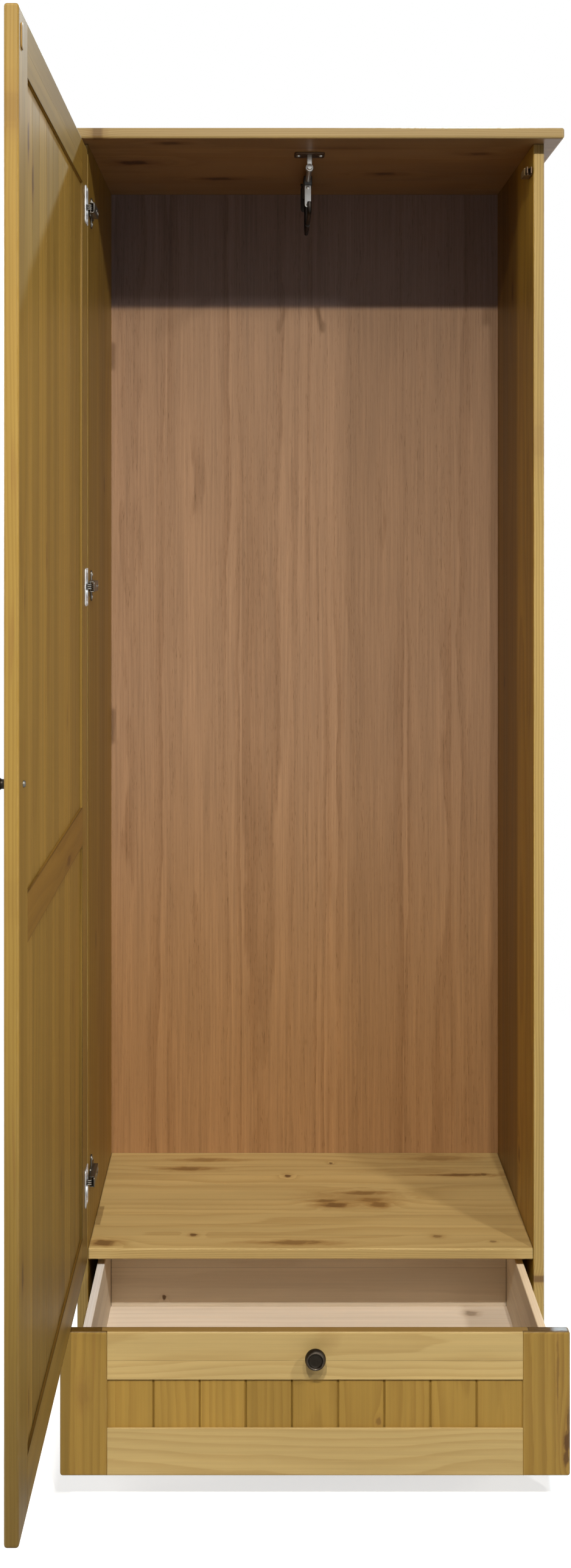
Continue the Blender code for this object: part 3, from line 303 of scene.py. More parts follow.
# Where the pith of each stave's log lies, in metres, and how its rings wander along the board.
PITH_ASIDE, PITH_BELOW, PITH_BELOW_SPREAD, PITH_LEAN = 0.13, 0.012, 0.05, 0.02
SIDE_WANDER, DEPTH_WANDER, WANDER_CYCLES = 0.035, 0.045, 1.7
RING_WOBBLE, RING_UNLIKE, RING_UNLIKE_CYCLES = 0.0018, 0.9, 95
LATE_WOOD_START_SHARE, LATE_WOOD_END_SHARE = 0.25, 0.90
STAVE_KEY_STEP = 3.173
# How far a knot drifts aside, in its half widths; how ragged its outline is and where its heart
# and its halo fade, in its radii; how fast its pull on the rings falls off.
KNOT_DRIFT, KNOT_DRIFT_CYCLES = 3.2, (22, 60)
KNOT_RAGGED, KNOT_RAGGED_CYCLES = 1.5, (60, 210)
HEART_FADE, HALO_FADE = (1.2, 0.5), (2.6, 0.6)
KNOT_PULL_FALL = -0.16
# Between which values of its noise each mark sets in.
SETS_IN = {
    "streak": (0.62, 0.80),
    "rub": (0.35, 0.60),
    "soft ring": (0.35, 0.70),
    "veneer pore": (0.60, 0.72),
    "scuff": (0.64, 0.78),
}


def make_rings_group():
    """Year rings cut by the board's faces, drifting along the grain."""
    numbers = (
        "Along", "Across", "Depth", "Stave", "Stave Centre", "Seed", "Ring Spacing", "Sway", "Pull",
    )
    outputs = {"Ring": "Float", "Chance": "Vector", "Fibre": "Float"}
    net, given, result = start_group("Wood rings", numbers, outputs)
    along, across, depth = given["Along"], given["Across"], given["Depth"]
    stave_key = net.math("MULTIPLY_ADD", given["Stave"], STAVE_KEY_STEP, given["Seed"])
    chance = net.add("ShaderNodeTexWhiteNoise", {"W": stave_key}, noise_dimensions="1D")
    random = net.split(chance.outputs["Color"])
    slow = net.join(net.times(along, WANDER_CYCLES), stave_key)
    wander = net.add("ShaderNodeTexNoise", {"Vector": slow, "Scale": 1.0, "Detail": 2.0})
    wanders = net.split(wander.outputs["Color"])
    pith = net.math("ADD", net.swing(random["X"], PITH_ASIDE), given["Stave Centre"])
    aside = net.swing(wanders["X"], net.times(given["Sway"], SIDE_WANDER))
    side = net.math("SUBTRACT", across, net.math("ADD", pith, aside))
    below = net.math("MULTIPLY_ADD", random["Y"], PITH_BELOW_SPREAD, PITH_BELOW)
    lean = net.times(along, given["Sway"], net.swing(random["Z"], PITH_LEAN))
    sink = net.swing(wanders["Y"], net.times(given["Sway"], DEPTH_WANDER))
    down = net.total(depth, below, lean, sink)
    wobble = net.swing(net.stretched_noise((along, across, depth), STRETCH["wobble"], 3), RING_WOBBLE)
    distance = net.total(net.length(side, down), given["Pull"], wobble)
    unlike = net.noise(net.join(net.times(distance, RING_UNLIKE_CYCLES), stave_key), 1)
    years = net.math("DIVIDE", distance, given["Ring Spacing"])
    phase = net.math("FRACT", net.math("ADD", years, net.swing(unlike, RING_UNLIKE)))
    rise = net.step(phase, LATE_WOOD_START_SHARE, LATE_WOOD_END_SHARE)
    fall = net.step(phase, 1.0, LATE_WOOD_END_SHARE)
    net.feed(result["Ring"], net.times(rise, fall))
    net.feed(result["Chance"], chance.outputs["Color"])
    net.feed(result["Fibre"], net.stretched_noise((along, across, depth), STRETCH["fibre"], 3, 0.6))


def make_knot_group():
    """One knot: how far it pushes the rings aside, its heart and its stained halo."""
    numbers = (
        "Along", "Across", "Knot Along", "Knot Across", "Half Length", "Half Width", "Dark", "Stain",
    )
    outputs = {"Pull": "Float", "Heart": "Float", "Halo": "Float"}
    net, given, result = start_group("Wood knot", numbers, outputs)
    away = net.math("SUBTRACT", given["Along"], given["Knot Along"])
    aside = net.math("SUBTRACT", given["Across"], given["Knot Across"])
    drift = net.stretched_noise((away, aside), KNOT_DRIFT_CYCLES)
    aside = net.math("ADD", aside, net.times(net.swing(drift, KNOT_DRIFT), given["Half Width"]))
    ragged = net.swing(net.stretched_noise((away, aside), KNOT_RAGGED_CYCLES, 3), KNOT_RAGGED)
    ellipse = net.length(
        net.math("DIVIDE", away, given["Half Length"]), net.math("DIVIDE", aside, given["Half Width"])
    )
    edge = net.math("ADD", ellipse, ragged)
    wide = net.times(ellipse, ellipse, KNOT_PULL_FALL)
    net.feed(result["Pull"], net.times(net.math("EXPONENT", wide), given["Half Width"], given["Dark"]))
    net.feed(result["Heart"], net.times(net.step(edge, *HEART_FADE), given["Dark"]))
    net.feed(result["Halo"], net.times(net.step(edge, *HALO_FADE), given["Stain"]))


def make_arris_group():
    """How near a point is to the arrises of a box: 1 on an arris, 0 well inside a face."""
    numbers = [f"{end} {axis}" for end in ("Low", "High") for axis in AXES]
    net, given, result = start_group("Arris", (*numbers, "Reach"), {"Arris": "Float"})
    place = net.split(object_point(net))
    gaps = []
    for axis in AXES:
        low = net.math("SUBTRACT", place[axis], given[f"Low {axis}"])
        high = net.math("SUBTRACT", given[f"High {axis}"], place[axis])
        gaps.append(net.math("MINIMUM", low, high))
    pairs = [net.math("MAXIMUM", gaps[i], gaps[j]) for i, j in ((0, 1), (1, 2), (0, 2))]
    nearest = net.math("MINIMUM", net.math("MINIMUM", pairs[0], pairs[1]), pairs[2])
    net.feed(result["Arris"], net.math("SUBTRACT", 1.0, net.step(nearest, 0.0, given["Reach"])))


def arris_mask(net, node, reach):
    low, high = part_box(node)
    inputs = {f"Low {axis}": value for axis, value in zip(AXES, low)}
    inputs.update({f"High {axis}": value for axis, value in zip(AXES, high)})
    inputs["Reach"] = reach
    return use_group(net, "Arris", inputs)["Arris"]


# Positions are in metres. grain and face name the axis along the grain and the axis through
# the board; staves are the places of the glue lines across the grain, or the number of equal
# tongued boards; a knot is along, across, half length, half width, strength of its heart,
# strength of its halo; level is how light the board is, and on the door's boards it also holds
# painted light and shade; sheen is how much its lacquer mirrors.
SHEEN = 0.24
Board = namedtuple("Board", "tone grain face staves knots level sheen", defaults=((), (), 1.0, SHEEN))

SHELF_LINES = (0.038, 0.080, 0.120, 0.175, 0.243, 0.283, 0.330)
SHELF_KNOTS = (
    (0.045, 0.156, 0.024, 0.0075, 0.75, 1.0),
    (0.030, 0.172, 0.020, 0.0045, 0.55, 0.9),
    (0.117, 0.158, 0.015, 0.0085, 0.50, 1.0),
    (0.104, 0.176, 0.020, 0.0060, 0.35, 1.0),
    (0.092, 0.205, 0.036, 0.0055, 0.50, 0.9),
    (0.080, 0.180, 0.048, 0.0190, 0.08, 0.6),
    (-0.206, 0.311, 0.034, 0.0060, 0.45, 0.9),
    (-0.178, 0.352, 0.040, 0.0050, 0.30, 0.8),
    (0.234, 0.360, 0.045, 0.0100, 0.22, 0.6),
    (0.262, 0.283, 0.052, 0.0042, 0.75, 0.8),
    (0.200, 0.300, 0.060, 0.0060, 0.10, 0.4),
    (-0.028, 0.012, 0.050, 0.0060, 0.50, 0.8),
    (-0.323, 0.011, 0.019, 0.0080, 0.75, 0.8),
    (-0.0315, 0.278, 0.0060, 0.0048, 1.0, 0.3),
    (0.045, 0.335, 0.0034, 0.0034, 0.9, 0.2),
    (0.307, 0.285, 0.0060, 0.0042, 0.8, 0.3),
    (-0.184, 0.0395, 0.0065, 0.0042, 0.9, 0.4),
    (0.2005, 0.034, 0.0080, 0.0036, 0.6, 0.4),
    (0.286, 0.015, 0.0060, 0.0030, 0.6, 0.3),
)
TOP_KNOTS = (
    (-0.327, -0.045, 0.009, 0.0060, 0.55, 0.5),
    (-0.284, 0.124, 0.028, 0.0130, 1.0, 1.0),
    (-0.150, 0.250, 0.030, 0.0080, 0.9, 0.9),
    (0.040, 0.020, 0.050, 0.0060, 0.25, 0.8),
    (-0.218, -0.014, 0.018, 0.0070, 0.8, 0.8),
    (0.130, 0.210, 0.022, 0.0090, 0.8, 0.8),
    (0.270, 0.060, 0.016, 0.0070, 0.6, 0.8),
)
RIGHT_KNOTS = (
    (0.363, 0.135, 0.016, 0.007, 0.8, 0.6),
    (1.783, 0.208, 0.018, 0.007, 0.6, 0.6),
    (0.224, -0.010, 0.006, 0.006, 0.8, 0.5),
    (1.120, 0.300, 0.014, 0.006, 0.6, 0.5),
    (1.527, -0.009, 0.030, 0.009, 0.10, 0.40),
)
LEFT_KNOTS = (
    (1.460, 0.250, 0.016, 0.007, 0.7, 0.6),
    (0.720, 0.110, 0.016, 0.007, 0.6, 0.6),
)
FREE_STILE_KNOTS = (
    (0.540, -0.706, 0.020, 0.0050, 0.8, 0.6),
    (0.978, -0.735, 0.024, 0.0080, 0.05, 0.15),
    (1.857, -0.735, 0.020, 0.0080, 0.15, 0.45),
    (1.310, -0.690, 0.022, 0.0030, 0.5, 0.5),
)
HINGE_STILE_KNOTS = (
    (0.330, -0.040, 0.024, 0.0040, 0.5, 0.5),
    (1.560, -0.050, 0.028, 0.0035, 0.5, 0.5),
)
UPPER_PANEL_KNOTS = (
    (1.844, -0.636, 0.026, 0.0060, 0.9, 0.8),
    (1.802, -0.598, 0.024, 0.0050, 0.8, 0.8),
    (1.350, -0.470, 0.026, 0.0035, 0.5, 0.6),
    (1.120, -0.250, 0.022, 0.0035, 0.5, 0.5),
)
LOWER_PANEL_KNOTS = (
    (0.494, -0.320, 0.026, 0.0050, 0.7, 0.7),
    (0.898, -0.654, 0.016, 0.0045, 0.7, 0.6),
    (0.359, -0.633, 0.026, 0.0045, 0.6, 0.6),
    (0.700, -0.180, 0.024, 0.0035, 0.5, 0.5),
)
RIGHT_STILE_KNOTS = (
    (0.092, 0.3580, 0.019, 0.0042, 1.0, 0.6),
    (0.069, 0.3560, 0.013, 0.0032, 0.9, 0.5),
    (0.122, 0.3595, 0.022, 0.0024, 0.8, 0.5),
    (0.190, 0.3440, 0.060, 0.0016, 0.4, 0.5),
)

BOARDS = {
    "left_side_panel": Board("side", "Z", "X", (0.062, 0.131, 0.204, 0.268, 0.335), LEFT_KNOTS),
    "right_side_panel": Board("side", "Z", "X", (0.055, 0.153, 0.205, 0.262, 0.322), RIGHT_KNOTS),
    "top_board": Board("shelf", "X", "Z", (0.021, 0.084, 0.149, 0.218, 0.289, 0.346), TOP_KNOTS),
    "compartment_floor": Board("shelf", "X", "Z", SHELF_LINES, SHELF_KNOTS),
    "bottom_board": Board("shelf", "X", "Z", (0.061, 0.128, 0.197, 0.263, 0.329)),
    "plinth_board": Board("rail", "X", "Y", (0.046,)),
    "door_hinge_stile": Board("stile", "Z", "X", (), HINGE_STILE_KNOTS, 0.88),
    "door_free_stile": Board("stile", "Z", "X", (), FREE_STILE_KNOTS, 1.0, 0.18),
    "door_top_rail": Board("stile", "Y", "X", (1.938,), (), 0.90, 0.03),
    "door_middle_rail": Board("stile", "Y", "X", (), ((-0.258, 0.922, 0.024, 0.0055, 0.7, 0.6),), 0.72),
    "door_bottom_rail": Board("stile", "Y", "X", ()),
    "door_upper_panel": Board("stile", "Z", "X", 9, UPPER_PANEL_KNOTS, 1.10),
    "door_lower_panel": Board("stile", "Z", "X", 9, LOWER_PANEL_KNOTS, 1.07),
    "drawer_left_stile": Board("stile", "Z", "Y", (), ((0.159, -0.329, 0.020, 0.006, 0.1, 0.4),)),
    "drawer_right_stile": Board("dark", "Z", "Y", (), RIGHT_STILE_KNOTS),
    "drawer_top_rail": Board("rail", "X", "Y", (0.207,), ((0.018, 0.2375, 0.010, 0.007, 0.0, 0.25),)),
    "drawer_bottom_rail": Board("rail", "X", "Y", ()),
    "drawer_front_panel": Board("panel", "Z", "Y", 9, ((0.119, 0.090, 0.006, 0.003, 0.5, 0.4),), 0.96),
    "drawer_left_side": Board("box", "Y", "X", (0.176,)),
    "drawer_right_side": Board("box", "Y", "X", (0.184,)),
    "drawer_back": Board("box", "X", "Y", (0.190,), ((-0.234, 0.1415, 0.0034, 0.0034, 1.0, 0.1),)),
    "drawer_bottom": Board("ply", "X", "Z", (), ((0.260, 0.082, 0.010, 0.006, 0.4, 0.4),)),
    "drawer_bottom_cleat": Board("box", "X", "Z", ()),
}

# The staves of the back's veneer, whose colours veneer_face sets; the seed of its figure, its
# share of the ring spacing and how far its rings sway.
BACK_VENEER = Board("veneer", "Z", "Y", (-0.245, -0.112, 0.041, 0.178, 0.262))
VENEER_SEED, VENEER_SPACING, VENEER_SWAY = 4.71, 0.9, 0.16

# Early and late wood setting, contrast of the rings, share of the ring spacing, how far the
# rings sway along the board, streaks, how unlike neighbouring staves are, broad soft bands,
# roughness.
Tone = namedtuple("Tone", "early late contrast spacing sway streaks unlike bands rough")
TONES = {
    "rail": Tone("rail_early", "rail_late", 0.45, 0.8, 0.55, 0.05, 0.12, 0.06, 0.42),
    "stile": Tone("stile_early", "stile_late", 0.36, 1.0, 0.32, 0.45, 0.32, 0.42, 0.42),
    "panel": Tone("stile_early", "stile_late", 0.42, 0.9, 0.32, 0.30, 0.12, 0.24, 0.42),
    "dark": Tone("stile_early", "stile_late", 0.62, 1.1, 0.30, 0.65, 0.20, 0.20, 0.42),
    "side": Tone("stile_early", "stile_late", 0.60, 1.0, 0.32, 0.60, 0.34, 0.50, 0.42),
    "shelf": Tone("rail_early", "rail_late", 0.55, 0.8, 0.30, 0.12, 0.12, 0.12, 0.40),
    "box": Tone("box_early", "box_late", 0.40, 1.0, 0.30, 0.04, 0.05, 0.06, 0.60),
    "ply": Tone("ply_early", "ply_late", 0.35, 1.8, 0.50, 0.02, 0.05, 0.06, 0.55),
}
# Hidden tongue at each side of a boarded panel; half widths of a glue line and of a groove.
TONGUE, GLUE_LINE, GROOVE = 0.0087, 0.00035, 0.0013
NAIL_STEP, NAIL_INSET = 0.118, 0.0065
# Frame members whose inner arrises are darkened with painted shade.
SHADED_ARRISES = ("door_hinge_stile", "door_top_rail", "door_middle_rail", "door_bottom_rail")
# Door boards with painted shade that darkens them towards the foot, from the first height down to the
# second.
SHADED_FEET = ("door_free_stile", "door_hinge_stile", "door_lower_panel", "door_bottom_rail")
FOOT_SHADE_FADE = (0.85, 0.25)
# How far in from a face its painted light and shade, the dark of a sawn end, the wear of an arris and the
# painted shade of an inner arris reach.
TINT_FADE, END_FADE = (0.0012, 0.0004), (0.0022, 0.0004)
WORN_REACH, ARRIS_SHADE_REACH = 0.004, 0.003
ARRIS_SHADE, ARRIS_SHADE_LEVEL = 0.9, 0.45
# The least share of the rings' contrast and how much of it comes and goes; the strength of a halo.
RING_SHARE, RING_SHARE_SWING, HALO_SHARE = 0.3, 0.9, 0.75
# How much each part of the figure lightens, roughens or raises a face; minus is the contrary; the foot's
# share is painted shade.
BOARD_LIGHT = {
    "patch": 0.34, "fine": 0.20, "fibre": 0.14, "end": -0.40, "foot": -0.44, "line": -0.24,
}
BOARD_ROUGH = {"patch": 0.12, "fibre": 0.10}
BOARD_RELIEF = {"ring": 0.6, "line": -1.5}
VENEER_LIGHT = {"broad": 0.34, "fine": 0.60, "fibre": 0.20, "stave": 0.16, "line": -0.08}
VENEER_ROUGH = {"plain": 0.46, "broad": 0.14, "rear": 0.25}
REAR_LIGHT = {"plain": 0.72, "flake": 0.45, "cloud": 0.40, "scuff": 0.14}
VENEER_RING_SHARE, PORE_SHARE, PORE_BASE, PORE_RING = 0.50, 0.40, 0.4, 0.6
GRAIN_RELIEF = 0.00006
SEED_STEP = 11.37
# Cycles a metre of the flakes and damp clouds on the bare rear of the back.
FLAKE_CYCLES, DAMP_CYCLES = 160, 3.5
# On the veneer: painted warm bounce light low down, and painted shade, bluer and darker, above the line of
# the top board's shadow.
PAINTED_BOUNCE_FADE, PAINTED_BOUNCE_TINT = (1.15, 0.45), (1.02, 0.93, 0.70)
PAINTED_SHADOW_EDGE, PAINTED_SHADOW_TINT = (1.774, 1.790), (0.74, 0.92, 1.55)
# Faces with painted light and shade on top of their board's colour: axis, low or high face, tint and,
# for a face lit in front and shaded behind, the tint of its rear part; the step between front and rear
# lies between these two depths. Undersides, the top faces of rails and stiles, the inner faces of the
# sides, the top board's front and top and the free stile's front edge are darkened as painted shade;
# the tops of the drawer's sides are lightened as painted light; the front edges of the sides are made
# paler and bluer, and the middle rail's inner face warmer.
PAINTED_SHADE_DEPTHS = (0.138, 0.170)
PAINTED_FACE_LIGHT = {
    "left_side_panel": (
        ("X", HIGH, (0.78, 0.76, 0.58), (0.66, 0.64, 0.52)),
        ("Y", LOW, (1.19, 1.36, 2.25)),
    ),
    "right_side_panel": (
        ("X", LOW, (0.98, 0.96, 0.66), (0.51, 0.45, 0.31)),
        ("Y", LOW, (1.19, 1.36, 2.25)),
    ),
    "top_board": (
        ("Z", LOW, (0.56, 0.44, 0.44)),
        ("Y", LOW, (0.85, 0.83, 0.85)),
        ("Z", HIGH, (0.72, 0.66, 0.60)),
    ),
    "drawer_top_rail": (("Z", HIGH, (0.55, 0.48, 0.36)),),
    "drawer_left_stile": (("Z", HIGH, (0.66, 0.58, 0.46)),),
    "drawer_right_stile": (("Z", HIGH, (0.60, 0.52, 0.42)),),
    "drawer_left_side": (("Z", HIGH, (1.16, 1.26, 1.50)),),
    "drawer_right_side": (("Z", HIGH, (1.30, 1.22, 1.10)),),
    "door_free_stile": (("Y", LOW, (0.88, 0.92, 1.10)),),
    "door_middle_rail": (("Z", HIGH, (0.66, 0.58, 0.46)), ("X", HIGH, (1.06, 0.95, 0.80))),
    "door_bottom_rail": (("Z", HIGH, (0.66, 0.58, 0.46)),),
}


def across_axis(board):
    return next(axis for axis in AXES if axis not in (board.grain, board.face))


def span(node, axis):
    """Where a node begins and ends along an axis."""
    low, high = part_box(node)
    return low[AXES.index(axis)], high[AXES.index(axis)]


def even_lines(node, board):
    """Lines between the equal boards of a tongued panel, whose outer tongues are hidden."""
    low, high = span(node, across_axis(board))
    width = (high - low - 2 * TONGUE) / board.staves
    return tuple(low + TONGUE + width * index for index in range(1, board.staves))


def stave_marks(net, node, board, across):
    """Number and centre of the stave at each point, and whether a glue line or groove is there."""
    tongued = isinstance(board.staves, int)
    lines = even_lines(node, board) if tongued else board.staves
    low, high = span(node, across_axis(board))
    ends = (low, *lines, high)
    centres = [(a + b) / 2 for a, b in zip(ends, ends[1:])]
    number, centre, line = 0.0, centres[0], 0.0
    for index, place in enumerate(lines):
        passed = net.math("GREATER_THAN", across, place)
        number = net.math("ADD", number, passed)
        centre = net.math("MULTIPLY_ADD", passed, centres[index + 1] - centres[index], centre)
        near = net.math("COMPARE", across, place, GROOVE if tongued else GLUE_LINE)
        line = net.math("MAXIMUM", line, near)
    return number, centre, line


def gather_knots(net, board, along, across, strength):
    pull, heart, halo = 0.0, 0.0, 0.0
    for place, side, half_length, half_width, dark, stain in board.knots:
        inputs = {
            "Along": along, "Across": across, "Knot Along": place, "Knot Across": side,
            "Half Length": half_length, "Half Width": half_width,
            "Dark": dark * strength, "Stain": stain,
        }
        knot = use_group(net, "Wood knot", inputs)
        pull = net.math("ADD", pull, knot["Pull"])
        heart = net.math("MAXIMUM", heart, knot["Heart"])
        halo = net.math("MAXIMUM", halo, knot["Halo"])
    return pull, heart, halo


def end_grain(net, node, board, along):
    """1 on the sawn ends, which drink in more finish and turn darker."""
    low, high = span(node, board.grain)
    gap = net.math("MINIMUM", net.math("SUBTRACT", along, low), net.math("SUBTRACT", high, along))
    return net.step(gap, *END_FADE)


def paint_face_light(net, node, place, colour):
    """Paints light and shade onto some faces of a board as tints."""
    for axis, end, tint, *behind in PAINTED_FACE_LIGHT.get(node, ()):
        if behind:
            tint = net.blend(net.step(place["Y"], *PAINTED_SHADE_DEPTHS), tint, behind[0])
        gap = net.math("ABSOLUTE", net.math("SUBTRACT", place[axis], span(node, axis)[end]))
        tinted = net.blend(1.0, colour, tint, "MULTIPLY")
        colour = net.blend(net.step(gap, *TINT_FADE), colour, tinted)
    return colour


def arris_wear_and_shade(net, node, point, colour):
    """Handled arrises go pale with wear; the inner arrises of the door's frame are darkened with painted
    shade.
    """
    wood = bpy.context.scene.wardrobe_wood
    # Painted shade along the inner arrises of the door's frame; below, pale wear on the other arrises.
    if node in SHADED_ARRISES:
        dark = net.scaled_colour(colour, ARRIS_SHADE_LEVEL)
        return net.blend(net.times(arris_mask(net, node, ARRIS_SHADE_REACH), ARRIS_SHADE), colour, dark)
    arris = net.times(arris_mask(net, node, WORN_REACH), wood.wear)
    rubs = net.step(net.stretched_noise(point, STRETCH["rub"]), *SETS_IN["rub"])
    return net.blend(net.times(arris, rubs), colour, wood.rail_early)


def board_figure(net, board, point, rings, knots, patch):
    """Colour of the rings, streaks and knots of a board."""
    wood = bpy.context.scene.wardrobe_wood
    tone = TONES[board.tone]
    heart, halo = knots
    faded = net.times(rings["Ring"], net.math("MULTIPLY_ADD", patch, RING_SHARE_SWING, RING_SHARE))
    share = net.times(faded, tone.contrast)
    colour = net.blend(share, getattr(wood, tone.early), getattr(wood, tone.late))
    streaks = net.step(net.stretched_noise(point, STRETCH["streak"]), *SETS_IN["streak"])
    colour = net.blend(net.times(streaks, tone.streaks), colour, wood.halo)
    colour = net.blend(net.times(halo, HALO_SHARE), colour, wood.halo)
    return net.blend(heart, colour, wood.knot)


def board_material(node, seed):
    """Lacquered or bare timber for one board, cut from its own part of the tree."""
    board = BOARDS[node]
    tone = TONES[board.tone]
    wood = bpy.context.scene.wardrobe_wood
    material, net, shader = start_material(f"{node} timber")
    place = net.split(object_point(net))
    point = [place[axis] for axis in (board.grain, across_axis(board), board.face)]
    along, across, depth = point
    number, centre, line = stave_marks(net, node, board, across)
    pull, *knots = gather_knots(net, board, along, across, wood.knot_strength)
    rings = use_group(net, "Wood rings", {
        "Along": along, "Across": across, "Depth": depth, "Stave": number, "Stave Centre": centre,
        "Seed": seed * SEED_STEP, "Ring Spacing": wood.ring_spacing * tone.spacing,
        "Sway": tone.sway, "Pull": pull,
    })
    patch = net.stretched_noise(point, STRETCH["patch"])
    colour = board_figure(net, board, point, rings, knots, patch)
    # Painted shade on some arrises and painted light and shade on some faces go into the colour here.
    colour = paint_face_light(net, node, place, arris_wear_and_shade(net, node, point, colour))
    light = net.total(
        1.0,
        net.swing(net.split(rings["Chance"])["X"], tone.unlike),
        net.swing(patch, BOARD_LIGHT["patch"]),
        net.swing(net.stretched_noise(point, STRETCH["band"]), tone.bands),
        net.swing(net.stretched_noise(point, STRETCH["fine"], 3), BOARD_LIGHT["fine"]),
        net.swing(rings["Fibre"], BOARD_LIGHT["fibre"]),
        net.times(end_grain(net, node, board, along), BOARD_LIGHT["end"]),
        net.times(line, BOARD_LIGHT["line"]),
    )
    # Painted shade, darker towards the foot of the door.
    if node in SHADED_FEET:
        shade = net.times(net.step(place["Z"], *FOOT_SHADE_FADE), BOARD_LIGHT["foot"])
        light = net.math("ADD", light, shade)
    net.feed(shader.inputs["Base Color"], net.scaled_colour(colour, net.times(light, board.level)))
    rough = net.total(
        tone.rough,
        net.swing(patch, BOARD_ROUGH["patch"]),
        net.swing(rings["Fibre"], BOARD_ROUGH["fibre"]),
    )
    net.feed(shader.inputs["Roughness"], rough)
    shader.inputs["Specular IOR Level"].default_value = board.sheen
    relief = net.total(
        rings["Fibre"],
        net.times(rings["Ring"], BOARD_RELIEF["ring"]),
        net.times(line, BOARD_RELIEF["line"]),
    )
    raise_bumps(net, shader, relief, GRAIN_RELIEF)
    return material


def nail_dots(net, node, place):
    """1 on the nails round the rim of the back, NAIL_STEP apart."""
    radius = bpy.context.scene.wardrobe_metal.nail_head
    dots = 0.0
    for run, across in ("ZX", "XZ"):
        # Whole steps are added first, because a place below 0 leaves a remainder below 0.
        wave = net.math("MODULO", net.math("ADD", place[run], 10 * NAIL_STEP), NAIL_STEP)
        along = net.math("SUBTRACT", wave, NAIL_STEP / 2)
        for end, inward in zip(span(node, across), (NAIL_INSET, -NAIL_INSET)):
            reach = net.length(along, net.math("SUBTRACT", place[across], end + inward))
            dots = net.math("MAXIMUM", dots, net.step(reach, radius, radius * 0.8))
    return dots


def rear_face(net, node, place):
    """Bare pressed board with flakes, damp clouds, scuffs and the nails that hold it."""
    wood, metals = bpy.context.scene.wardrobe_wood, bpy.context.scene.wardrobe_metal
    point = object_point(net)
    flakes = net.noise(point, 4, 0.7, FLAKE_CYCLES)
    clouds = net.noise(point, 4, 0.55, DAMP_CYCLES)
    scratches = net.stretched_noise([place[axis] for axis in AXES], STRETCH["scuff"], 3, 0.6)
    light = net.total(
        REAR_LIGHT["plain"],
        net.swing(flakes, REAR_LIGHT["flake"]),
        net.swing(clouds, REAR_LIGHT["cloud"]),
        net.times(net.step(scratches, *SETS_IN["scuff"]), REAR_LIGHT["scuff"]),
    )
    colour = net.scaled_colour(wood.pressed_board, light)
    return net.blend(nail_dots(net, node, place), colour, metals.dark_steel)


def veneer_face(net, point, rings, line, broad, pore):
    """Brown veneer with soft rings, pores and fine lines, and painted bounce light and painted shade."""
    wood = bpy.context.scene.wardrobe_wood
    soft_ring = net.times(rings["Ring"], net.step(broad, *SETS_IN["soft ring"]))
    share = net.times(soft_ring, VENEER_RING_SHARE)
    colour = net.blend(share, wood.veneer_early, wood.veneer_late)
    colour = net.blend(net.times(pore, PORE_SHARE), colour, wood.knot)
    # Painted warm bounce light low down, then painted shade above the top board's shadow line.
    for fade, tint in ((PAINTED_BOUNCE_FADE, PAINTED_BOUNCE_TINT), (PAINTED_SHADOW_EDGE, PAINTED_SHADOW_TINT)):
        tinted = net.blend(1.0, colour, tint, "MULTIPLY")
        colour = net.blend(net.step(point[0], *fade), colour, tinted)
    light = net.total(
        1.0,
        net.swing(broad, VENEER_LIGHT["broad"]),
        net.swing(net.stretched_noise(point, STRETCH["veneer fine"], 3), VENEER_LIGHT["fine"]),
        net.swing(rings["Fibre"], VENEER_LIGHT["fibre"]),
        net.swing(net.split(rings["Chance"])["X"], VENEER_LIGHT["stave"]),
        net.times(line, VENEER_LIGHT["line"]),
    )
    return net.scaled_colour(colour, light)


def back_material(node):
    """Brown veneer with pores towards the compartment, bare pressed board towards the wall."""
    wood = bpy.context.scene.wardrobe_wood
    material, net, shader = start_material(f"{node} veneer")
    place = net.split(object_point(net))
    point = along, across, depth = place["Z"], place["X"], place["Y"]
    number, centre, line = stave_marks(net, node, BACK_VENEER, across)
    rings = use_group(net, "Wood rings", {
        "Along": along, "Across": across, "Depth": depth, "Stave": number, "Stave Centre": centre,
        "Seed": VENEER_SEED, "Ring Spacing": wood.ring_spacing * VENEER_SPACING,
        "Sway": VENEER_SWAY, "Pull": 0.0,
    })
    broad = net.stretched_noise(point, STRETCH["veneer broad"], 3)
    pores = net.stretched_noise(point, STRETCH["veneer pore"], 1)
    share = net.math("MULTIPLY_ADD", rings["Ring"], PORE_RING, PORE_BASE)
    pore = net.times(net.step(pores, *SETS_IN["veneer pore"]), share)
    colour = veneer_face(net, point, rings, line, broad, pore)
    rear = net.math("GREATER_THAN", depth, sum(span(node, "Y")) / 2)
    net.feed(shader.inputs["Base Color"], net.blend(rear, colour, rear_face(net, node, place)))
    rough = net.total(
        VENEER_ROUGH["plain"],
        net.swing(broad, VENEER_ROUGH["broad"]),
        net.times(rear, VENEER_ROUGH["rear"]),
    )
    net.feed(shader.inputs["Roughness"], rough)
    shader.inputs["Specular IOR Level"].default_value = SHEEN
    relief = net.total(net.times(pore, -1.0), rings["Fibre"])
    raise_bumps(net, shader, relief, GRAIN_RELIEF)
    return material


def dress(node, material):
    """Gives a CAD node its material in every slot."""
    for slot in frame["nodes"][node].material_slots:
        slot.material = material


# Metal and plastic


# Cycles a metre of the marks on metal and plastic, and how deep the marks are.
BRUSH_ALONG, BRUSH_ACROSS = 60, 2600
STAIN_CYCLES, SPECK_CYCLES = 130, 900
PIT_CYCLES, TARNISH_CYCLES = 420, 90
GRAIN_CYCLES, FLOW_CYCLES = 2400, 60
BRUSH_DEPTH, PIT_DEPTH, GRAIN_DEPTH = 0.00001, 0.00008, 0.00002
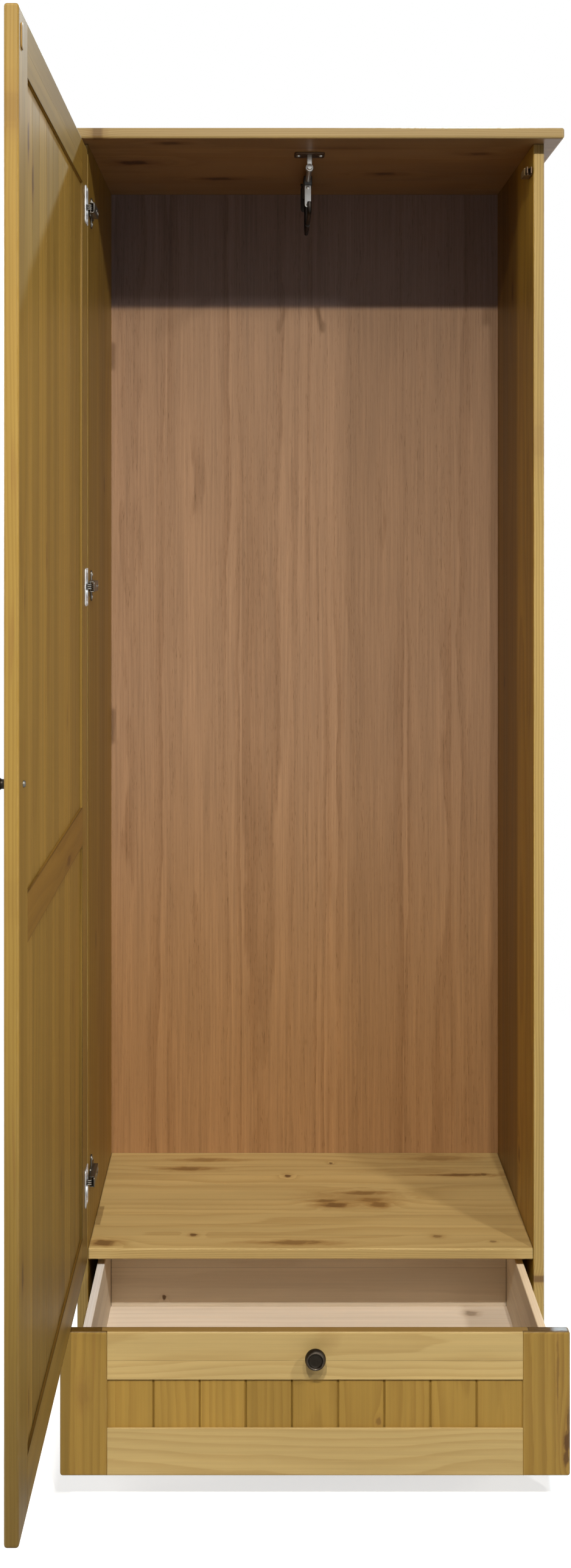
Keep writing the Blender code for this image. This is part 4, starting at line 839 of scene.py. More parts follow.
# How much each mark lightens, roughens or raises a face; minus is the contrary.
METAL_LIGHT = {"brush": 0.14, "speck": -0.3, "stain": 0.35}
METAL_ROUGH = {"brush": 0.14, "stain": 0.22}
SPECK_EDGE, SPECK_RELIEF = (0.66, 0.74), -2.0
BRONZE_LIGHT = {"pit": 0.5, "tarnish": 0.5}
BRONZE_ROUGH = {"plain": 0.40, "tarnish": 0.2, "rubbed": -0.08}
BRONZE_METALLIC = 0.85
# From which share of a knob's height it is rubbed, and the tarnish that is rubbed away.
PROUD_EDGE, RUBBED_EDGE = (0.86, 1.0), (0.25, 0.6)
PLASTIC_LIGHT = {"flow": 0.14, "grain": 0.08}
PLASTIC_ROUGH = {"flow": 0.12, "grain": 0.10}
# Each finish has the name of the setting that gives its colour, a material's name, a roughness
# and, if it is metal, the axis that its brush lines run along.
METALS = {
    "nickel": ("Nickel plate", 0.36, "Z"),
    "satin_nickel": ("Satin nickel plate", 0.62, "Z"),
    "dull_nickel": ("Shaded dull nickel plate", 0.42, "Z"),
    "brown_steel": ("Browned steel", 0.50, "Z"),
    "zinc": ("Zinc plate", 0.42, "Y"),
    "dark_steel": ("Blackened steel", 0.45, "Z"),
}
PLASTICS = {
    "black_plastic": ("Black plastic", 0.42),
    "white_plastic": ("White plastic", 0.45),
}


def metal_material(name, colour, rough, brush_axis):
    """Plated or brushed metal with fine brush lines, cloudy stains and small specks."""
    material, net, shader = start_material(name)
    point = object_point(net)
    place = net.split(point)
    stretch = [BRUSH_ALONG if axis == brush_axis else BRUSH_ACROSS for axis in AXES]
    brushed = net.stretched_noise([place[axis] for axis in AXES], stretch)
    stain = net.noise(point, 4, 0.6, STAIN_CYCLES)
    speck = net.step(net.noise(point, 2, 0.5, SPECK_CYCLES), *SPECK_EDGE)
    light = net.total(
        1.0,
        net.swing(stain, METAL_LIGHT["stain"]),
        net.swing(brushed, METAL_LIGHT["brush"]),
        net.times(speck, METAL_LIGHT["speck"]),
    )
    net.feed(shader.inputs["Base Color"], net.scaled_colour(colour, light))
    shader.inputs["Metallic"].default_value = 1.0
    roughness = net.total(
        rough,
        net.swing(stain, METAL_ROUGH["stain"]),
        net.swing(brushed, METAL_ROUGH["brush"]),
    )
    net.feed(shader.inputs["Roughness"], roughness)
    relief = net.math("ADD", brushed, net.times(speck, SPECK_RELIEF))
    raise_bumps(net, shader, relief, BRUSH_DEPTH)
    return material


def bronze_material(name, axis, seat, height):
    """Dark bronze, paler where it stands proud and hands rub it."""
    metals = bpy.context.scene.wardrobe_metal
    material, net, shader = start_material(name)
    point = object_point(net)
    pitted = net.noise(point, 5, 0.65, PIT_CYCLES)
    tarnish = net.noise(point, 3, 0.5, TARNISH_CYCLES)
    proud = net.math("DIVIDE", net.math("SUBTRACT", seat, net.split(point)[axis]), height)
    rubbed = net.times(net.step(proud, *PROUD_EDGE), net.step(tarnish, *RUBBED_EDGE))
    colour = net.blend(rubbed, metals.bronze, metals.rubbed_bronze)
    light = net.total(
        1.0,
        net.swing(pitted, BRONZE_LIGHT["pit"]),
        net.swing(tarnish, BRONZE_LIGHT["tarnish"]),
    )
    net.feed(shader.inputs["Base Color"], net.scaled_colour(colour, light))
    shader.inputs["Metallic"].default_value = BRONZE_METALLIC
    roughness = net.total(
        BRONZE_ROUGH["plain"],
        net.swing(tarnish, BRONZE_ROUGH["tarnish"]),
        net.times(rubbed, BRONZE_ROUGH["rubbed"]),
    )
    net.feed(shader.inputs["Roughness"], roughness)
    raise_bumps(net, shader, pitted, PIT_DEPTH)
    return material


def plastic_material(name, colour, rough, gloss=0.5):
    """Moulded plastic or lacquer with a fine skin and faint flow marks."""
    material, net, shader = start_material(name)
    point = object_point(net)
    grain = net.noise(point, 3, 0.6, GRAIN_CYCLES)
    flow = net.noise(point, 3, 0.5, FLOW_CYCLES)
    light = net.total(
        1.0, net.swing(flow, PLASTIC_LIGHT["flow"]), net.swing(grain, PLASTIC_LIGHT["grain"])
    )
    net.feed(shader.inputs["Base Color"], net.scaled_colour(colour, light))
    roughness = net.total(
        rough, net.swing(flow, PLASTIC_ROUGH["flow"]), net.swing(grain, PLASTIC_ROUGH["grain"])
    )
    net.feed(shader.inputs["Roughness"], roughness)
    shader.inputs["Specular IOR Level"].default_value = gloss
    raise_bumps(net, shader, grain, GRAIN_DEPTH)
    return material


def make_finishes():
    """Node groups and the finishes that fittings share."""
    metals = bpy.context.scene.wardrobe_metal
    make_rings_group()
    make_knot_group()
    make_arris_group()
    finishes = {}
    for slot, (name, rough, brush_axis) in METALS.items():
        finishes[slot] = metal_material(name, getattr(metals, slot), rough, brush_axis)
    for slot, (name, rough) in PLASTICS.items():
        finishes[slot] = plastic_material(name, getattr(metals, slot), rough)
    return finishes


# Filled by the operator that finishes the boards, and read by those after it.
FINISHES = {}


# Mesh helpers


def half_size(node, axis):
    low, high = span(node, axis)
    return (high - low) / 2


def middle(node):
    low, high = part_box(node)
    return (low + high) / 2


def placed(place, facing="up"):
    return Matrix.Translation(place) @ FACING[facing]


def on_side(x):
    """Lays a plate drawn in (z, y) on its side at x, so that its thickness runs along +X."""
    return Matrix(((0, 0, 1, x), (0, 1, 0, 0), (1, 0, 0, 0), (0, 0, 0, 1)))


def upright(y):
    """Stands a plate drawn in (x, z) upright at y, so that its thickness runs along +Y."""
    return Matrix(((1, 0, 0, 0), (0, 0, 1, y), (0, 1, 0, 0), (0, 0, 0, 1)))


def put_in(work, part, matrix=None):
    """Closes a small part's seams, sets it in place and adds it to the piece being made."""
    bmesh.ops.remove_doubles(part, verts=part.verts, dist=WELD)
    if matrix:
        bmesh.ops.transform(part, matrix=matrix, verts=part.verts)
    mesh = bpy.data.meshes.new("part")
    part.to_mesh(mesh)
    part.free()
    work.from_mesh(mesh)
    bpy.data.meshes.remove(mesh)


def finish_piece(name, work, slot, body, replaced=(), rounds=0, finish=None):
    """Turns a bmesh into a piece that rides on a body and takes the finish given, or else the finish of a
    slot.
    """
    bmesh.ops.recalc_face_normals(work, faces=work.faces)
    for face in work.faces:
        face.smooth = True
    for edge in work.edges:
        edge.smooth = edge.calc_face_angle(0) < SHARP_ANGLE
    mesh = bpy.data.meshes.new(name)
    work.to_mesh(mesh)
    work.free()
    mesh.materials.append(finish or FINISHES[slot])
    piece = bpy.data.objects.new(name, mesh)
    bpy.context.scene.collection.objects.link(piece)
    if rounds:
        rounding = piece.modifiers.new("Rounding", "SUBSURF")
        rounding.levels = rounds
        rounding.render_levels = rounds
    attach(piece, body)
    if replaced:
        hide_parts(*replaced)
    return piece


def soften(part, offset, segments=2, angle=EASED_ANGLE):
    """Rounds every edge of a part that is sharper than an angle."""
    edges = [edge for edge in part.edges if edge.calc_face_angle(0) > angle]
    bmesh.ops.bevel(
        part, geom=edges, offset=offset, offset_type="OFFSET", affect="EDGES", segments=segments,
        profile=0.5, material=-1, clamp_overlap=True,
    )


def turning(outline, steps):
    """A turned part about +Z from an outline of (radius, height) points."""
    part = bmesh.new()
    points = [part.verts.new((radius, 0, height)) for radius, height in outline]
    lines = [part.edges.new(pair) for pair in zip(points, points[1:])]
    bmesh.ops.spin(
        part, geom=points + lines, cent=(0, 0, 0), axis=(0, 0, 1), angle=FULL_TURN, steps=steps,
        use_merge=True,
    )
    return part


def block(low, high, bevel=0.0, segments=2):
    """A block between two corners with its edges rounded."""
    part = bmesh.new()
    low, high = Vector(low), Vector(high)
    bmesh.ops.create_cube(part, size=1)
    bmesh.ops.scale(part, vec=high - low, verts=part.verts)
    bmesh.ops.translate(part, vec=(low + high) / 2, verts=part.verts)
    if bevel:
        soften(part, bevel, segments)
    return part


def plate(outline, thickness, bevel, hole=()):
    """A flat pressed plate on height 0 with eased edges and an optional hole."""
    part = bmesh.new()
    edges = []
    for loop in (outline, hole):
        points = [part.verts.new((x, y, 0)) for x, y in loop]
        edges += [part.edges.new(pair) for pair in zip(points, points[1:] + points[:1])]
    bmesh.ops.triangle_fill(part, edges=edges, use_beauty=True)
    raised = bmesh.ops.extrude_face_region(part, geom=part.faces[:])["geom"]
    top = [item for item in raised if isinstance(item, bmesh.types.BMVert)]
    bmesh.ops.translate(part, vec=(0, 0, thickness), verts=top)
    bmesh.ops.recalc_face_normals(part, faces=part.faces)
    soften(part, bevel)
    return part


def pipe(path, radius, steps, ends):
    """A round rod along a path, with eased ends."""
    part = bmesh.new()
    path = [Vector(point) for point in path]
    ways = [(after - before).normalized() for before, after in zip(path, path[1:])]
    bmesh.ops.create_circle(part, cap_ends=True, segments=steps, radius=radius)
    turn = Vector((0, 0, 1)).rotation_difference(ways[0]).to_matrix().to_4x4()
    bmesh.ops.transform(part, matrix=Matrix.Translation(path[0]) @ turn, verts=part.verts)
    part.faces.ensure_lookup_table()
    cap, heading = part.faces[0], ways[0]
    for index, point in enumerate(path[1:], start=1):
        grown = bmesh.ops.extrude_face_region(part, geom=[cap])["geom"]
        cap = next(item for item in grown if isinstance(item, bmesh.types.BMFace))
        onward = (ways[index - 1] + ways[min(index, len(ways) - 1)]).normalized()
        bmesh.ops.translate(part, vec=point - path[index - 1], verts=cap.verts)
        bend = heading.rotation_difference(onward).to_matrix()
        bmesh.ops.rotate(part, cent=point, matrix=bend, verts=cap.verts)
        heading = onward
    bmesh.ops.recalc_face_normals(part, faces=part.faces)
    soften(part, ends, angle=PIPE_END_ANGLE)
    return part


def bent(points, radius):
    """A path through points whose inner corners are bent to a radius."""
    points = [Vector(point) for point in points]
    path = [points[0]]
    for before, corner, after in zip(points, points[1:], points[2:]):
        start = corner + (before - corner).normalized() * radius
        end = corner + (after - corner).normalized() * radius
        for step in range(BEND_STEPS + 1):
            share = step / BEND_STEPS
            path.append(start.lerp(corner, share).lerp(corner.lerp(end, share), share))
    return path + [points[-1]]


def circle_outline(radius, steps):
    angles = [FULL_TURN * step / steps for step in range(steps)]
    return [(radius * math.cos(angle), radius * math.sin(angle)) for angle in angles]


def rounded_outline(low, high, radius):
    """A rectangle in plan with rounded corners."""
    corners = ((high[0], high[1]), (low[0], high[1]), (low[0], low[1]), (high[0], low[1]))
    outline = []
    for quarter, (x, y) in enumerate(corners):
        centre_x = x - radius if quarter in (0, 3) else x + radius
        centre_y = y - radius if quarter in (0, 1) else y + radius
        for step in range(CORNER_STEPS + 1):
            angle = RIGHT_ANGLE * (quarter + step / CORNER_STEPS)
            outline.append((centre_x + radius * math.cos(angle), centre_y + radius * math.sin(angle)))
    return outline


# A screw head: its flat crown, the arms of its cross and their half width, as shares of its
# radius; the spread and fall of the two rings of its dome; the depth and taper of its cross.
CROWN_SHARE, CROSS_SHARE, CROSS_HALF_WIDTH_SHARE = 0.70, 0.50, 0.13
DOME_RINGS = ((1.28, 0.35), (1.12, 0.65))
CROSS_DEPTH_SHARE, CROSS_TAPER = 0.75, 0.75


def screw(radius, height=0.0010):
    """A domed screw head on height 0, with a cross recess."""
    part = bmesh.new()
    bmesh.ops.create_grid(part, x_segments=5, y_segments=5, size=1)
    shares = (CROSS_SHARE, CROSS_HALF_WIDTH_SHARE, CROWN_SHARE)
    arm, half, crown = (radius * share for share in shares)
    columns = {-1.0: -crown, -0.6: -arm, -0.2: -half, 0.2: half, 0.6: arm, 1.0: crown}
    for vertex in part.verts:
        on_rim = max(abs(vertex.co.x), abs(vertex.co.y)) > 0.9
        vertex.co.x = columns[round(vertex.co.x, 1)]
        vertex.co.y = columns[round(vertex.co.y, 1)]
        if on_rim:
            vertex.co = vertex.co.normalized() * crown
        vertex.co.z = height
    rim = [edge for edge in part.edges if edge.is_boundary]
    cross = []
    for face in part.faces:
        near, far = sorted(abs(offset) for offset in face.calc_center_median().xy)
        if near < half and far < arm:
            cross.append(face)
    for spread, fall in DOME_RINGS:
        grown = bmesh.ops.extrude_edge_only(part, edges=rim)["geom"]
        ring = [item for item in grown if isinstance(item, bmesh.types.BMVert)]
        bmesh.ops.scale(part, vec=(spread, spread, 1), verts=ring)
        bmesh.ops.translate(part, vec=(0, 0, -height * fall), verts=ring)
        rim = [item for item in grown if isinstance(item, bmesh.types.BMEdge)]
    bmesh.ops.edgeloop_fill(part, edges=rim)
    sunk = bmesh.ops.extrude_face_region(part, geom=cross)["geom"]
    floor = [item for item in sunk if isinstance(item, bmesh.types.BMVert)]
    bmesh.ops.translate(part, vec=(0, 0, -height * CROSS_DEPTH_SHARE), verts=floor)
    bmesh.ops.scale(part, vec=(CROSS_TAPER, CROSS_TAPER, 1), verts=floor)
    return part


# Operators


class WARDROBE_OT_timber(bpy.types.Operator):
    """Finish every board of the carcass, door and drawer"""

    bl_idname = "wardrobe.timber"
    bl_label = "Finish Boards"

    def execute(self, context):
        FINISHES.update(make_finishes())
        for seed, node in enumerate(BOARDS, start=1):
            dress(node, board_material(node, seed))
        dress("back_panel", back_material("back_panel"))
        for part in frame["record"]["subparts"]:
            if part["material_slot"] in FINISHES:
                dress(part["node"], FINISHES[part["material_slot"]])
        return {"FINISHED"}


class WARDROBE_OT_back_gap_shade(bpy.types.Operator):
    """Close the gap between the back panel and the top board with a thin black strip, painted shade where
    the gap shows dark
    """

    bl_idname = "wardrobe.seal"
    bl_label = "Shade Back Gap"

    INSET = 0.0008

    def execute(self, context):
        low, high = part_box("back_panel")
        near, far = low.y + self.INSET, high.y - self.INSET
        roof = span("top_board", "Z")[LOW]
        work = bmesh.new()
        # A black strip put into the gap as painted shade.
        put_in(work, block((low.x, near, high.z), (high.x, far, roof)))
        finish_piece("back_gap_shade_strip", work, "black_plastic", "carcass")
        return {"FINISHED"}


class WARDROBE_OT_knobs(bpy.types.Operator):
    """Turn the bronze knobs of the door and the drawer, and drive their screws"""

    bl_idname = "wardrobe.knobs"
    bl_label = "Turn Knobs"

    # Radius and height as shares of the knob's own radius and height.
    OUTLINE_SHARES = (
        (0, 0), (0.50, 0), (0.52, 0.05), (0.44, 0.12), (0.36, 0.22), (0.38, 0.36), (0.60, 0.46),
        (0.90, 0.52), (0.985, 0.62), (1.0, 0.70), (0.985, 0.79), (0.93, 0.90), (0.84, 0.985),
        (0.76, 1.0), (0.69, 0.975), (0.64, 0.90), (0.60, 0.86), (0.54, 0.85), (0.30, 0.86), (0, 0.87),
    )
    # The body each one is on, the axis it stands along and the way it faces.
    KNOBS = (("drawer", "Y", "front"), ("door", "X", "left"))
    SCREWS = (("drawer", "Y", "back"), ("door", "X", "right"))
    SCREW_RISE = 0.0025
    ROUNDS = 1

    def execute(self, context):
        for body, axis, facing in self.KNOBS:
            self.turn_knob(context, body, axis, facing)
        for body, axis, facing in self.SCREWS:
            self.drive_screw(body, axis, facing)
        return {"FINISHED"}

    def turn_knob(self, context, body, axis, facing):
        node = f"{body}_knob"
        near, far = span(node, axis)
        radius, height = half_size(node, "Z"), far - near
        seat = middle(node)
        seat[AXES.index(axis)] = far
        outline = [(share * radius, rise * height) for share, rise in self.OUTLINE_SHARES]
        knob = turning(outline, context.scene.wardrobe_metal.knob_steps)
        work = bmesh.new()
        put_in(work, knob, placed(seat, facing))
        finish = bronze_material(f"{node} bronze", axis, far, height)
        finish_piece(f"{node}_turned", work, "bronze", body, (node,), rounds=self.ROUNDS, finish=finish)

    def drive_screw(self, body, axis, facing):
        node = f"{body}_knob_screw"
        seat = middle(node)
        seat[AXES.index(axis)] = span(node, axis)[HIGH] - self.SCREW_RISE
        work = bmesh.new()
        put_in(work, screw(half_size(node, "Z"), self.SCREW_RISE), placed(seat, facing))
        finish_piece(f"{node}_head", work, "zinc", body, (node,), finish=FINISHES["dull_nickel"])


class WARDROBE_OT_hinges(bpy.types.Operator):
    """Press the cups, arms and plates of the three hinges"""

    bl_idname = "wardrobe.hinges"
    bl_label = "Fit Hinges"

    # Sizes are in metres; an inset is a distance from the part's own end or edge.
    EASE, GAP = 0.0003, 0.0003
    CUP_WALL, CUP_STEPS = 0.0009, 48
    MOUTH_WALLS, MOUTH_STEPS = 2.2, 40
    FLANGE_CORNER, FLANGE_SCREW_INSET, FLANGE_SCREW_RISE = 0.004, 0.0052, 0.0009
    PIN_STEPS, PIN_EASE = 16, 0.0002
    ARM_SHEET, ARM_DEPTH, ARM_NOSE_INSET, ARM_CORNER = 0.0012, 0.008, 0.0005, 0.0035
    SLOT_INSETS, SLOT_HALF_WIDTH, SLOT_CORNER = (0.0225, 0.0125), 0.0018, 0.0017
    LIP_NOSE_INSET, LIP_TAIL_INSET, LIP_EASE = 0.004, 0.003, 0.0004
    LINK_DROP, LINK_INSET, LINK_REACH, LINK_BEND = 0.0005, 0.004, 0.010, 0.0035
    LINK_RADIUS, LINK_STEPS, LINK_OFFSETS = 0.0012, 12, (-0.0030, 0.0, 0.0030)
    KNUCKLE_RADIUS, KNUCKLE_HALF, KNUCKLE_STEPS = 0.0019, 0.0045, 20
    # The inset and the radius of each screw in the arm, and how far it is sunk, in sheets.
    ARM_SCREWS, ARM_SCREW_SUNK = ((0.0290, 0.0030), (0.0070, 0.0036)), 0.4
    # Each bar of the plate's cross: half length, half width, corner and share of the plate's rise.
    PLATE_BARS = ((0.009, 0.022, 0.003, 1.0), (0.024, 0.006, 0.0058, 0.8))
    PLATE_EASE, PLATE_CROSS_INSET = 0.0004, 0.022
    PLATE_SCREW_OFFSET, PLATE_SCREW_SHARE = 0.0175, 0.8

    def execute(self, context):
        head_radius = context.scene.wardrobe_metal.screw_head
        for name in HINGES:
            self.press_cup(name, head_radius)
            self.press_arm(name)
            self.press_plate(name, head_radius)
        return {"FINISHED"}

    def press_cup(self, name, head_radius):
        """The bowl let into the door with its long flange, two screws and the pin."""
        cup, pin = f"{name}_hinge_cup", f"{name}_hinge_pin"
        low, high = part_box(cup)
        radius, half_long = half_size(cup, "Y"), half_size(cup, "Z")
        seat = middle(cup)
        seat.x = span("door_hinge_stile", "X")[HIGH]
        depth, rise, wall = seat.x - low.x, high.x - seat.x, self.CUP_WALL
        bowl = (
            (0, -depth + wall), (radius - 5 * wall, -depth + wall),
            (radius - 3 * wall, -depth + 3 * wall), (radius - 2 * wall, rise * 0.6),
            (radius - 1.6 * wall, rise), (radius - wall, rise), (radius, rise * 0.5),
            (radius, self.GAP), (radius - wall, self.GAP), (radius - wall, -depth + 3 * wall),
            (radius - 3 * wall, -depth), (0, -depth),
        )
        work = bmesh.new()
        put_in(work, turning(bowl, self.CUP_STEPS), placed(seat, "right"))
        outline = rounded_outline((-half_long, -radius), (half_long, radius), self.FLANGE_CORNER)
        mouth = circle_outline(radius - self.MOUTH_WALLS * wall, self.MOUTH_STEPS)
        flange = plate(outline, rise - self.GAP, self.EASE, mouth)
        put_in(work, flange, placed(seat + Vector((self.GAP, 0, 0)), "right"))
        self.add_rod(work, middle(pin), span(pin, "Z"), half_size(pin, "Y"), self.PIN_STEPS, self.PIN_EASE)
        satin = FINISHES["satin_nickel"]
        finish_piece(f"{cup}_pressed", work, "nickel", "door", (cup, pin), finish=satin)
        heads = bmesh.new()
        for side in (-1, 1):
            place = seat + Vector((rise, 0, side * (half_long - self.FLANGE_SCREW_INSET)))
            put_in(heads, screw(head_radius, self.FLANGE_SCREW_RISE), placed(place, "right"))
        finish_piece(f"{cup}_screws", heads, "nickel", "door", finish=satin)

    def add_rod(self, work, centre, ends, radius, steps, ease):
        """An upright round rod between two heights."""
        path = [(centre.x, centre.y, height) for height in ends]
        put_in(work, pipe(path, radius, steps, ease))

    def press_arm(self, name):
        """A channel-shaped arm with its adjusting slot, two screws and the link to the pin."""
        node = f"{name}_hinge_arm"
        low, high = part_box(node)
        centre_z, sheet = (low.z + high.z) / 2, self.ARM_SHEET
        slot_near, slot_far = (high.y - inset for inset in self.SLOT_INSETS)
        slot = rounded_outline(
            (centre_z - self.SLOT_HALF_WIDTH, slot_near), (centre_z + self.SLOT_HALF_WIDTH, slot_far),
            self.SLOT_CORNER,
        )
        nose_y = low.y + self.ARM_NOSE_INSET
        crown = rounded_outline((low.z, nose_y), (high.z, high.y), self.ARM_CORNER)
        work = bmesh.new()
        put_in(work, plate(crown, sheet, self.EASE, slot), on_side(high.x - sheet))
        for foot in (low.z, high.z - sheet):
            inner = (high.x - self.ARM_DEPTH, low.y + self.LIP_NOSE_INSET, foot)
            outer = (high.x - sheet / 2, high.y - self.LIP_TAIL_INSET, foot + sheet)
            put_in(work, block(inner, outer, self.LIP_EASE))
        self.bend_link(work, middle(f"{name}_hinge_pin"), high.x - self.LINK_INSET, centre_z)
        finish_piece(f"{node}_pressed", work, "nickel", "carcass", (node,), finish=FINISHES["dull_nickel"])
        heads = bmesh.new()
        for inset, radius in self.ARM_SCREWS:
            place = (high.x - sheet * self.ARM_SCREW_SUNK, high.y - inset, centre_z)
            put_in(heads, screw(radius), placed(place, "right"))
        finish_piece(f"{node}_screws", heads, "zinc", "carcass")

    def bend_link(self, work, pin, bend_x, centre_z):
        """Three bars side by side from the knuckle round the pin to the arm."""
        start_y, end_y = pin.y - self.LINK_DROP, pin.y + self.LINK_REACH
        corners = ((pin.x, start_y, centre_z), (bend_x, start_y, centre_z), (bend_x, end_y, centre_z))
        link = bent(corners, self.LINK_BEND)
        for offset in self.LINK_OFFSETS:
            shifted = [point + Vector((0, 0, offset)) for point in link]
            put_in(work, pipe(shifted, self.LINK_RADIUS, self.LINK_STEPS, self.EASE))
        ends = (centre_z - self.KNUCKLE_HALF, centre_z + self.KNUCKLE_HALF)
        self.add_rod(work, pin, ends, self.KNUCKLE_RADIUS, self.KNUCKLE_STEPS, self.EASE)

    def press_plate(self, name, head_radius):
        """The cross-shaped plate on the side panel with a screw in each wing."""
        node = f"{name}_hinge_plate"
        low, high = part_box(node)
        rise = high.x - low.x
        centre_y, centre_z = low.y + self.PLATE_CROSS_INSET, (low.z + high.z) / 2
        work = bmesh.new()
        for half_long, half_wide, corner, share in self.PLATE_BARS:
            near = (centre_z - half_long, centre_y - half_wide)
            far = (centre_z + half_long, centre_y + half_wide)
            bar = plate(rounded_outline(near, far, corner), rise * share, self.PLATE_EASE)
            put_in(work, bar, on_side(low.x))
        finish_piece(f"{node}_pressed", work, "nickel", "carcass", (node,), finish=FINISHES["dull_nickel"])
        heads = bmesh.new()
        for side in (-1, 1):
            height = centre_z + side * self.PLATE_SCREW_OFFSET
            place = (low.x + rise * self.PLATE_SCREW_SHARE, centre_y, height)
            put_in(heads, screw(head_radius), placed(place, "right"))
        finish_piece(f"{node}_screws", heads, "zinc", "carcass")


class WARDROBE_OT_hanging_rail(bpy.types.Operator):
    """Make the pull-out hanging rail and its brackets"""

    bl_idname = "wardrobe.hanging_rail"
    bl_label = "Fit Hanging Rail"

    # Sizes are in metres; an outline is (radius, height).
    PLATE_SHEET, PLATE_CORNER, PLATE_EASE = 0.0020, 0.005, 0.0004
    NECK_HALF_WIDE, NECK_HALF_DEEP, NECK_RISE, NECK_EASE = 0.0040, 0.0050, 0.004, 0.0012
    BORE, COLLAR_HALF, COLLAR_EASE, COLLAR_STEPS = 0.0042, 0.0060, 0.0007, 32
    FOLD_SHEET, FOLD_INSET, FOLD_DROP, FOLD_CORNER = 0.0030, 0.0035, 0.0022, 0.0055
    FOLD_EASE, LEDGE_EASE = 0.0005, 0.0006
    SOCKET_HALF, SOCKET_STEPS = 0.0040, 28
    SOCKET = (
        (BORE, -SOCKET_HALF), (0.0062, -SOCKET_HALF), (0.0066, -0.0034), (0.0066, SOCKET_HALF),
        (BORE, SOCKET_HALF), (BORE, -SOCKET_HALF),
    )
    GUIDE_STEPS, GUIDE_EASE = 32, 0.0008
    SLIDER_EASE, SLIDER_SEGMENTS = 0.0022, 3
    RIB_SHARES, RIB_DEPTH, RIB_PROUD, RIB_INSET = (0.10, 0.16, 0.84, 0.90), 0.0024, 0.0003, 0.002
    HANGER_LEVEL, HANGER_TAIL, HANGER_BEND = 1.891, 0.018, 0.010
    HANGER_STEPS, HANGER_EASE = 28, 0.0012
    STRAP_HALF_WIDE, TONGUE_HALF_WIDE, STRAP_CORNER_SHARE, STRAP_EASE = 0.0052, 0.0036, 0.9, 0.0003
    STRAP_JOINT_SHARE, STRAP_LAP, RIVET_INSET = 0.46, 0.0080, 0.006
    RIVET_STEPS = 20
    RIVET = ((0, 0), (0.0028, 0), (0.0026, 0.0008), (0.0016, 0.0014), (0, 0.0016))

    def execute(self, context):
        self.make_front_bracket()
        self.make_rear_bracket()
        self.make_sliding_part()
        self.make_strap()
        return {"FINISHED"}

    def make_front_bracket(self):
        """A plate under the top board with the collar that holds the guide rod, and two screws."""
        low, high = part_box("rail_front_bracket")
        rod = middle("rail_guide_rod")
        under = high.z - self.PLATE_SHEET
        work = bmesh.new()
        flat = rounded_outline((low.x, low.y), (high.x, high.y), self.PLATE_CORNER)
        put_in(work, plate(flat, self.PLATE_SHEET, self.PLATE_EASE), placed((0, 0, under)))
        finish_piece(
            "rail_front_bracket_plate", work, "dark_steel", "carcass", ("rail_front_bracket",),
            finish=FINISHES["brown_steel"],
        )
        centre_y = (low.y + high.y) / 2
        near = (-self.NECK_HALF_WIDE, centre_y - self.NECK_HALF_DEEP, rod.z + self.NECK_RISE)
        far = (self.NECK_HALF_WIDE, centre_y + self.NECK_HALF_DEEP, high.z - self.PLATE_SHEET / 2)
        work = bmesh.new()
        put_in(work, block(near, far, self.NECK_EASE))
        radius, half, ease = rod.z - low.z, self.COLLAR_HALF, self.COLLAR_EASE
        ring = (
            (self.BORE, -half), (radius - ease, -half), (radius, ease - half), (radius, half - ease),
            (radius - ease, half), (self.BORE, half), (self.BORE, -half),
        )
        put_in(work, turning(ring, self.COLLAR_STEPS), placed((rod.x, centre_y, rod.z), "front"))
        finish_piece("rail_front_bracket_collar", work, "nickel", "carcass")
        for word in SIDES:
            node = f"rail_screw_{word}"
            seat = middle(node)
            seat.z = under
            heads = bmesh.new()
            head = screw(half_size(node, "X"), under - span(node, "Z")[LOW])
            put_in(heads, head, placed(seat, "down"))
            finish_piece(f"{node}_head", heads, "zinc", "carcass", (node,))

    def make_rear_bracket(self):
        """A folded bracket with a socket at the back, and the guide rod."""
        low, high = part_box("rail_rear_bracket")
        half = (high.x - low.x) / 2
        work = bmesh.new()
        fold = rounded_outline((-half, low.z), (half, high.z - self.FOLD_DROP), self.FOLD_CORNER)
        fold_plate = plate(fold, self.FOLD_SHEET, self.FOLD_EASE)
        put_in(work, fold_plate, upright(high.y - self.FOLD_INSET))
        ledge = block((low.x, low.y, high.z - self.FOLD_SHEET), high, self.LEDGE_EASE)
        put_in(work, ledge)
        rod = middle("rail_guide_rod")
        seat = (rod.x, high.y - self.SOCKET_HALF, rod.z)
        put_in(work, turning(self.SOCKET, self.SOCKET_STEPS), placed(seat, "back"))
        finish_piece("rail_rear_bracket_folded", work, "dark_steel", "carcass", ("rail_rear_bracket",))
        path = [(rod.x, y, rod.z) for y in span("rail_guide_rod", "Y")]
        guide = pipe(path, half_size("rail_guide_rod", "Z"), self.GUIDE_STEPS, self.GUIDE_EASE)
        work = bmesh.new()
        put_in(work, guide)
        finish_piece("rail_guide_rod_drawn", work, "nickel", "carcass", ("rail_guide_rod",))

